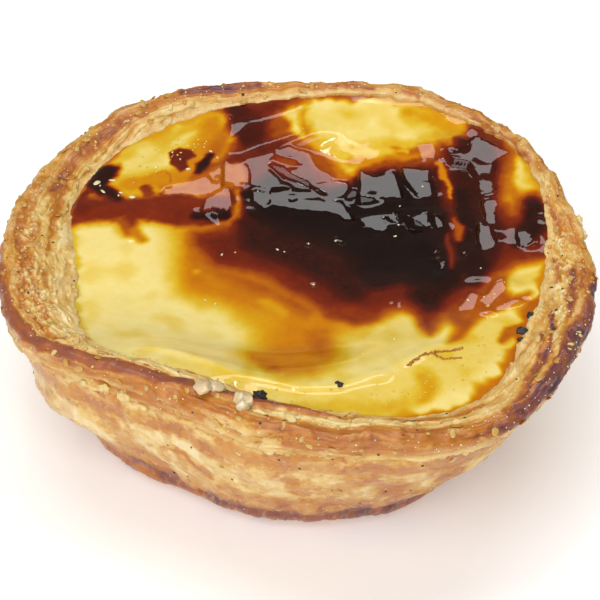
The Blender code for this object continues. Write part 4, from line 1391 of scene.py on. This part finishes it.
def scatter_tree():
    tree = bpy.data.node_groups.new("scatter bits", "GeometryNodeTree")
    for label, kind in SCATTER_INPUTS:
        tree.interface.new_socket(label, in_out="INPUT", socket_type="NodeSocket" + kind)
    tree.interface.new_socket("Geometry", in_out="OUTPUT", socket_type="NodeSocketGeometry")
    given = add_node(tree, "NodeGroupInput").outputs
    share = add_node(tree, "GeometryNodeInputNamedAttribute", {"Name": "share"}).outputs["Attribute"]
    spread = add_node(tree, "GeometryNodeDistributePointsOnFaces", {
        "Mesh": given["Geometry"], "Distance Min": given["Gap"],
        "Density Max": times(tree, given["Per square mm"], 1e6), "Density Factor": share,
        "Seed": given["Seed"],
    }, distribute_method="POISSON")
    size = random_number(tree, given["Smallest"], given["Largest"], given["Seed"])
    sizes = add_node(tree, "ShaderNodeCombineXYZ", {
        0: times(tree, size, given["Stretch"]), 1: size, 2: times(tree, size, given["Flatness"]),
    }).outputs[0]
    turn = add_node(tree, "FunctionNodeRandomValue", {
        0: (-1.0, -1.0, -1.0), RANDOM_SEED: given["Seed"],
    }, data_type="FLOAT_VECTOR").outputs[0]
    reach = add_node(tree, "ShaderNodeCombineXYZ", {0: given["Tilt"], 1: given["Tilt"], 2: math.pi})
    turn = add_node(tree, "ShaderNodeVectorMath", {
        0: turn, 1: reach.outputs[0],
    }, operation="MULTIPLY").outputs[0]
    turn = add_node(tree, "FunctionNodeEulerToRotation", {0: turn}).outputs[0]
    facing = add_node(tree, "FunctionNodeRotateRotation", {
        "Rotation": spread.outputs["Rotation"], "Rotate By": turn,
    }, rotation_space="LOCAL").outputs[0]
    bit = add_node(tree, "GeometryNodeMeshIcoSphere", {"Radius": 1.0, "Subdivisions": given["Detail"]})
    placed = add_node(tree, "GeometryNodeInstanceOnPoints", {
        "Points": spread.outputs["Points"], "Instance": bit.outputs["Mesh"],
        "Rotation": facing, "Scale": sizes,
    }).outputs["Instances"]
    level = random_number(tree, given["Level from"], given["Level to"], given["Seed"])
    named = add_node(tree, "GeometryNodeStoreNamedAttribute", {
        "Geometry": placed, "Name": given["Level name"], "Value": level,
    }, data_type="FLOAT", domain="INSTANCE")
    solid = add_node(tree, "GeometryNodeRealizeInstances", {"Geometry": named.outputs[0]}).outputs[0]
    bumps = add_node(tree, "ShaderNodeTexNoise", {"Scale": LUMP_SCALE, "Detail": 2.0}).outputs["Color"]
    bumps = add_node(tree, "ShaderNodeVectorMath", {0: bumps, 1: (0.5, 0.5, 0.5)}, operation="SUBTRACT")
    shift = add_node(tree, "ShaderNodeVectorMath", {
        0: bumps.outputs[0], "Scale": given["Lumpiness"],
    }, operation="SCALE")
    rough = add_node(tree, "GeometryNodeSetPosition", {"Geometry": solid, "Offset": shift.outputs[0]})
    smooth = add_node(tree, "GeometryNodeSetShadeSmooth", {"Geometry": rough.outputs[0]}).outputs[0]
    dressed = add_node(tree, "GeometryNodeSetMaterial", {"Geometry": smooth, "Material": given["Material"]})
    tree.links.new(dressed.outputs[0], add_node(tree, "NodeGroupOutput").inputs[0])
    return tree


scatter_nodes = scatter_tree()
print("scatter tree:", len(scatter_nodes.nodes), "nodes")

# %% Scatter one kind of bit
loose_pieces = []  # (piece, slot) of each kind of bit


def scatter(name, host, share, material, slot, **settings):
    mesh = host.data.copy()
    layer = mesh.attributes.new("share", "FLOAT", "POINT")
    layer.data.foreach_set("value", share.astype(np.float32))
    bits = bpy.data.objects.new(name, mesh)
    bpy.context.scene.collection.objects.link(bits)
    modifier = bits.modifiers.new("scatter", "NODES")
    modifier.node_group = scatter_nodes
    settings["material"] = material
    for socket in scatter_nodes.interface.items_tree:
        key = socket.name.replace(" ", "_").lower()
        if key in settings:
            modifier[socket.identifier] = settings[key]
    bpy.context.view_layer.update()
    depsgraph = bpy.context.evaluated_depsgraph_get()
    made = bpy.data.meshes.new_from_object(bits.evaluated_get(depsgraph))
    bits.modifiers.clear()
    bits.data = made
    bpy.data.meshes.remove(mesh)
    print(name, len(made.polygons), "triangles")
    loose_pieces.append((bits, slot))


# %% Scatter the bits
# Painted highlights: pale glossy beads stand in for the tiny glints of light on the rim, the wall and the
# custard.
glint_bead_material = new_material(
    "pale glint beads", Base_Color=linear("F3DFB0"), Roughness=0.12, Coat_Weight=1.0,
    Subsurface_Weight=0.3, Subsurface_Scale=0.0008,
)[0]
soot_material = new_material("charcoal", Base_Color=linear("2B2625"), Roughness=0.5)[0]

SKIRT_ROWS = 8  # rows of the rim below its lip, where no bit lies
UNDERSIDE_ROWS = 14
CUSTARD_GAP = 0.3  # mm of clean pastry beside the custard
rim_shown = (rim_row > SKIRT_ROWS) & (to_custard > CUSTARD_GAP) & (rim_row < shown_rim_rows)
wall_shown = (wall_row > UNDERSIDE_ROWS) & (wall_row < shown_rows)
rim_shown, wall_shown = rim_shown.astype(float), wall_shown.astype(float)
LARGE_CRUMB = dict(stretch=1.35, flatness=0.7, tilt=0.5, lumpiness=0.00045, detail=2, level_name="bake")
scatter("pastry_crumbs", pastry_rim, rim_shown * (0.10 + 0.90 * crumbly), baked_pastry, "pastry",
        per_square_mm=0.55, gap=0.0005, smallest=0.00010, largest=0.00034, level_from=0.02,
        level_to=0.40, seed=3, **LARGE_CRUMB)
FLAKE = dict(stretch=1.7, flatness=0.16, tilt=0.28, lumpiness=0.00035, detail=2, level_name="bake")
scatter("rim_flakes", pastry_rim, rim_shown * (1 - 0.7 * band), baked_pastry, "pastry",
        per_square_mm=0.10, gap=0.0012, smallest=0.00022, largest=0.00055, level_from=0.08,
        level_to=0.40, seed=5, **FLAKE)
scatter("wall_flakes", pastry_wall, wall_shown, baked_pastry, "pastry",
        per_square_mm=0.022, gap=0.0016, smallest=0.00020, largest=0.00060, level_from=0.0,
        level_to=0.22, seed=7, **{**FLAKE, "tilt": 0.12, "flatness": 0.10})
BEAD = dict(stretch=1.2, flatness=0.6, tilt=0.3, lumpiness=0.00006, detail=2, level_name="bake",
            level_from=0.0, level_to=0.1)
# Painted highlights: glint beads over the rim and the wall.
scatter("rim_beads", pastry_rim, rim_shown, glint_bead_material, "pastry",
        per_square_mm=0.45, gap=0.0005, smallest=0.00004, largest=0.00012, seed=11, **BEAD)
scatter("wall_beads", pastry_wall, wall_shown, glint_bead_material, "pastry",
        per_square_mm=0.12, gap=0.0007, smallest=0.00004, largest=0.00011, seed=13, **BEAD)
for name, host, share, seed in (
    ("rim_soot", pastry_rim, rim_shown, 17), ("wall_soot", pastry_wall, wall_shown, 19),
):
    scatter(name, host, share, soot_material, "pastry", per_square_mm=0.025, gap=0.0015,
            smallest=0.00008, largest=0.00021, seed=seed, **BEAD)

# %% Bubbles in the custard's skin
BUBBLY = (
    (0.1, 1.2, ((-22.5, 20, 2), (-19, 24.5, 3), (-14, 27, 2))),
    (0.09, 1.2, ((-22, -22, 1), (-6, -27, 1.6), (6, -29, 2.2), (18, -26, 2), (25, -18, 2))),
    (0.06, 1, ((25, -8, 1.5), (28, -4, 1))),
)
bubbly = np.zeros(len(custard_points))
bubbly_top = np.clip(10 * paint(0.0 * top_x, top_x, sheet_y, BUBBLY), 0, 1)
bubbly[:side * side] = bubbly_top * (disc_share < 0.97)
scatter("custard_bubbles", custard, bubbly, custard_material, "custard", per_square_mm=0.80,
        gap=0.0004, smallest=0.00005, largest=0.00018, stretch=1.2, flatness=0.40, tilt=0.1,
        lumpiness=0.00003, detail=2, level_name="caramel", level_from=0.02, level_to=0.22, seed=23)

# %% [markdown]
# ### Bits that sit at known places
# Two pale lumps of fat and some squarish flakes sit on the crust, a torn fibre of dough
# lies on the custard's shelf, and a few burnt crumbs lie on the rim and on the caramel.
# Pale beads laid on the custard and its caramel are painted glints of light. Each is made
# of lumpy pebbles, and every pebble is laid on the nearest point of the surface and turned
# to its slope.


# %% Lay pebbles on the surface
SLOPE_DEGREE = 0.62  # millimetres along the rim's slope in one degree
OUT_OF_REACH = 9.0  # added to a gap in mm, so that no bit is laid on hidden rows
LIFT = 0.35  # how far a bit's middle stands off the surface, as a share of its height
LUMP_SEED = 201


def on_rim(degree, distance):
    gap = np.hypot((rim_angle - degree) * SLOPE_DEGREE, rim_across - distance)
    return pastry_rim, int(np.argmin(gap + OUT_OF_REACH * (rim_row >= shown_rim_rows)))


def on_custard(x, y):
    return custard, int(np.argmin(np.hypot(top_x - x, sheet_y - y)))


def pebbles(name, bits, material, slot, roughness, level=0.3, detail=3):
    """bits: ((piece, vertex), (size along, size across, size up), turn in degrees)."""
    ball = bmesh.new()
    bmesh.ops.create_icosphere(ball, subdivisions=detail, radius=1.0)
    shape = np.array([vertex.co for vertex in ball.verts])
    faces = [[vertex.index for vertex in face.verts] for face in ball.faces]
    ball.free()
    points, all_faces = [], []
    for number, ((piece, vertex), sizes, turn) in enumerate(bits):
        place = np.array(piece.data.vertices[vertex].co) / MM - rim_middle
        up = np.array(piece.data.vertices[vertex].normal)
        along = np.cross(np.array([0.0, 0.0, 1.0]) + 0.001, up)
        along = along / np.linalg.norm(along)
        side_way = np.cross(up, along)
        cosine, sine = math.cos(math.radians(turn)), math.sin(math.radians(turn))
        axes = np.stack([along * cosine + side_way * sine, side_way * cosine - along * sine, up])
        lumps = 1 + roughness * 2 * crumb_noise(shape * 1.3 + number * 7.1, LUMP_SEED, 3)[:, None]
        points.append(place + up * sizes[2] * LIFT + (shape * lumps * np.array(sizes)) @ axes)
        all_faces += [[corner + number * len(shape) for corner in face] for face in faces]
    points = np.vstack(points)
    piece = new_piece(name, points, all_faces, {
        "bake": np.full(len(points), level), "caramel": np.full(len(points), level),
    })
    piece.data.materials.append(material)
    loose_pieces.append((piece, slot))


def along_path(path, spacing):
    """Places on the custard, evenly spaced along a path."""
    path = np.array(path, float)
    steps = np.hypot(*np.diff(path, axis=0).T)
    distance = np.concatenate([[0.0], np.cumsum(steps)])
    stops = np.arange(0.0, distance[-1], spacing)
    places = zip(np.interp(stops, distance, path[:, 0]), np.interp(stops, distance, path[:, 1]))
    return [on_custard(x, y) for x, y in places]


# %% Lay the bits
lump_material = new_material(
    "pale fat", Base_Color=linear("DCC49A"), Roughness=0.25, Coat_Weight=0.7, Coat_Roughness=0.1,
    Subsurface_Weight=0.5, Subsurface_Scale=0.0012,
)[0]
pebbles("pale_lumps", (
    (on_rim(248.8, 3.2), (1.1, 1.6, 0.65), 10), (on_rim(250.6, 4.6), (1.3, 1.3, 0.6), 0),
    (on_rim(257, 4.8), (0.9, 1.3, 0.6), 0),
    (on_rim(258.8, 4.8), (0.9, 1.2, 0.6), -15), (on_rim(258, 3.6), (0.9, 0.8, 0.5), 10),
), lump_material, "pastry", 0.13)
pebbles("square_flakes", (
    (on_rim(226, -2.3), (0.75, 0.85, 0.35), 8), (on_rim(230.5, -2.7), (0.85, 0.8, 0.35), -5),
    (on_rim(235.5, -3.0), (0.8, 0.7, 0.35), 12), (on_rim(222, -2.2), (0.5, 0.4, 0.3), 20),
    (on_rim(183, -0.2), (1.3, 0.8, 0.4), 25), (on_rim(6, -0.1), (1.1, 0.8, 0.4), -30),
    (on_rim(9, 0.6), (0.8, 0.6, 0.35), 20), (on_rim(262, 3.4), (1.0, 0.6, 0.3), 0),
    (on_rim(268, 3.4), (1.2, 0.5, 0.3), 5), (on_rim(276, 3.6), (1.3, 0.6, 0.3), -5),
), baked_pastry, "pastry", 0.2, 0.10)
pebbles("burnt_crumbs", (
    (on_rim(260.6, 6.9), (0.75, 0.85, 0.65), 0), (on_rim(261.8, 7.0), (0.5, 0.45, 0.5), 40),
    (on_custard(28.4, -14.4), (0.5, 0.9, 0.4), 20), (on_custard(28.9, -16.2), (0.55, 1.1, 0.45), 30),
    (on_custard(29.5, -17.4), (0.45, 0.7, 0.4), 10), (on_custard(29.8, -11.2), (0.6, 0.6, 0.5), 0),
    (on_custard(5.0, -26.3), (0.35, 0.3, 0.3), 0), (on_custard(4.7, -25.7), (0.3, 0.2, 0.25), 0),
), soot_material, "pastry", 0.25)

# %% A torn fibre
long_strand = along_path(((13.6, -22), (15.4, -20), (17, -19.4), (19, -19.2), (20.8, -18.4)), 0.2)
short_strand = along_path(((16.6, -19.6), (18, -20.8), (20.4, -20.4)), 0.18)
fibre = [(place, (0.22, 0.13 + 0.05 * math.sin(0.9 * n), 0.12), 0) for n, place in enumerate(long_strand)]
fibre += [(place, (0.20, 0.10, 0.10), 0) for place in short_strand]
pebbles("fibre", fibre, baked_pastry, "pastry", 0.2, 0.46, 2)

# %% Glints, as painted highlights
GLINTS = (  # places on the drawn sheet
    (13.5, 11), (13.2, 7.5), (12.8, 4.8), (-15.3, 26), (-15.3, 20.6), (-11.2, 23), (-22.5, 14.8),
    (-27, 17.6), (-24.4, 15.2), (1.1, 3.1), (4.9, 3.8), (-3.1, 1.9), (-2.1, 1.4), (1.7, -5.7),
    (-10.4, 0.9), (-8.7, 1.3), (-12.3, -9), (-11, -10), (-10.8, -14), (12, -17), (8, -20), (23.5, -2),
    (-17.5, 24.6), (-19.5, 21.2), (-13, 25.5), (-16.2, 22.8), (21.6, -8.5), (24, -12), (16.5, 15),
)
# Painted highlights: a small pale bead at each place, and larger flat ones on the dark skin at the left,
# stand for sparkles of light.
glints = [
    (on_custard(x, y), (0.11 + 0.07 * (n % 3), 0.13, 0.10), 40 * n) for n, (x, y) in enumerate(GLINTS)
]
glints += [
    (on_custard(-27.4, 18.4), (0.42, 0.62, 0.08), 20), (on_custard(-26.4, 16.2), (0.20, 0.50, 0.08), 0),
    (on_custard(-25.4, 18.8), (0.16, 0.55, 0.07), -10), (on_custard(-22.6, 14.6), (0.45, 0.36, 0.16), 0),
    (on_custard(-24.2, 15.8), (0.18, 0.30, 0.08), 30), (on_custard(-15.2, 20.6), (0.35, 0.20, 0.12), 20),
    (on_custard(-16.4, 27.0), (0.22, 0.16, 0.10), 0), (on_custard(-12.2, 24.4), (0.16, 0.30, 0.10), 0),
]
pebbles("glints", glints, glint_bead_material, "custard", 0.12, 0.1, 2)

# %% [markdown]
# ## Riding and replacing
# The wall and the rim stand for the shell's solid, and the custard for the filling's. The
# loose bits ride along and replace nothing.

# %% Tie the pieces to the frame
for piece, node_name, slot_name in (
    (pastry_wall, "pastry_shell", "pastry"),
    (pastry_rim, "pastry_shell", "pastry"),
    (custard, "custard_filling", "custard"),
):
    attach(piece, "root")
    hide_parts(node_name)
for piece, slot_name in loose_pieces:
    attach(piece, "root")
print("pieces on the frame:", 3 + len(loose_pieces))

# %% [markdown]
# ## Floor, lights and camera
# A white floor fills the view. One large soft box hangs over the tart, a little behind
# it, so that slopes that face the camera mirror it, a second soft light in front opens up
# the wall, and a small lamp adds the sharp glints. The long lens keeps the tart's shape
# as the eye sees it from afar.

# %% Floor
FLOOR_HALF = 2.0
floor_corners = [(x * FLOOR_HALF, y * FLOOR_HALF, 0) for x, y in ((-1, -1), (1, -1), (1, 1), (-1, 1))]
floor_mesh = bpy.data.meshes.new("floor")
floor_mesh.from_pydata(floor_corners, [], [(0, 1, 2, 3)])
floor = bpy.data.objects.new("floor", floor_mesh)
bpy.context.scene.collection.objects.link(floor)
floor_mesh.materials.append(new_material(
    "white floor", Base_Color=(0.92, 0.92, 0.92, 1.0), Roughness=0.7, Specular_IOR_Level=0.0,
    Emission_Color=(1.0, 1.0, 1.0, 1.0), Emission_Strength=0.22,
)[0])


# %% Lights
LIT_POINT = Vector((0.0, 0.0, 0.02))


def soft_light(name, place, size, power):
    data = bpy.data.lights.new(name, "AREA")
    data.shape = "RECTANGLE"
    data.size, data.size_y = size
    data.energy = power
    light = bpy.data.objects.new(name, data)
    light.location = place
    light.rotation_euler = (LIT_POINT - light.location).to_track_quat("-Z", "Y").to_euler()
    bpy.context.scene.collection.objects.link(light)
    print(name, power, "W")


soft_light("soft box overhead", (0.0, 0.13, 0.57), (0.60, 0.23), 1.9)
soft_light("front fill", (-0.15, -0.55, 0.50), (0.9, 0.6), 5.0)
soft_light("small lamp", (-0.10, -0.03, 0.60), (0.04, 0.04), 0.12)
world = bpy.data.worlds.new("studio")
world.use_nodes = True
background = world.node_tree.nodes["Background"]
background.inputs["Color"].default_value = (1.0, 1.0, 1.0, 1.0)
background.inputs["Strength"].default_value = 0.13
bpy.context.scene.world = world
bpy.context.scene.view_settings.view_transform = "Standard"

# %% Camera
CAMERA_DISTANCE = 450.0
FOCAL_SHARE = 5.7525  # focal length over the sensor's width
AIM_BELOW = math.radians(0.893)  # the tart sits a little below the rim's middle in the view
camera_data = bpy.data.cameras.new("camera")
camera_data.sensor_width = 36.0
camera_data.lens = FOCAL_SHARE * camera_data.sensor_width
camera = bpy.data.objects.new("camera", camera_data)
rim_plane = rim_middle + np.array([0.0, 0.0, TART_HEIGHT])
camera.location = Vector((rim_plane + CAMERA_DISTANCE * np.array([
    0.0, -math.cos(VIEW_RISE), math.sin(VIEW_RISE)])) * MM)
camera.rotation_euler = (math.pi / 2 - VIEW_RISE - AIM_BELOW, 0.0, 0.0)
bpy.context.scene.collection.objects.link(camera)
bpy.context.scene.camera = camera
print("camera", CAMERA_DISTANCE, "mm away with a lens of", round(camera_data.lens), "mm")
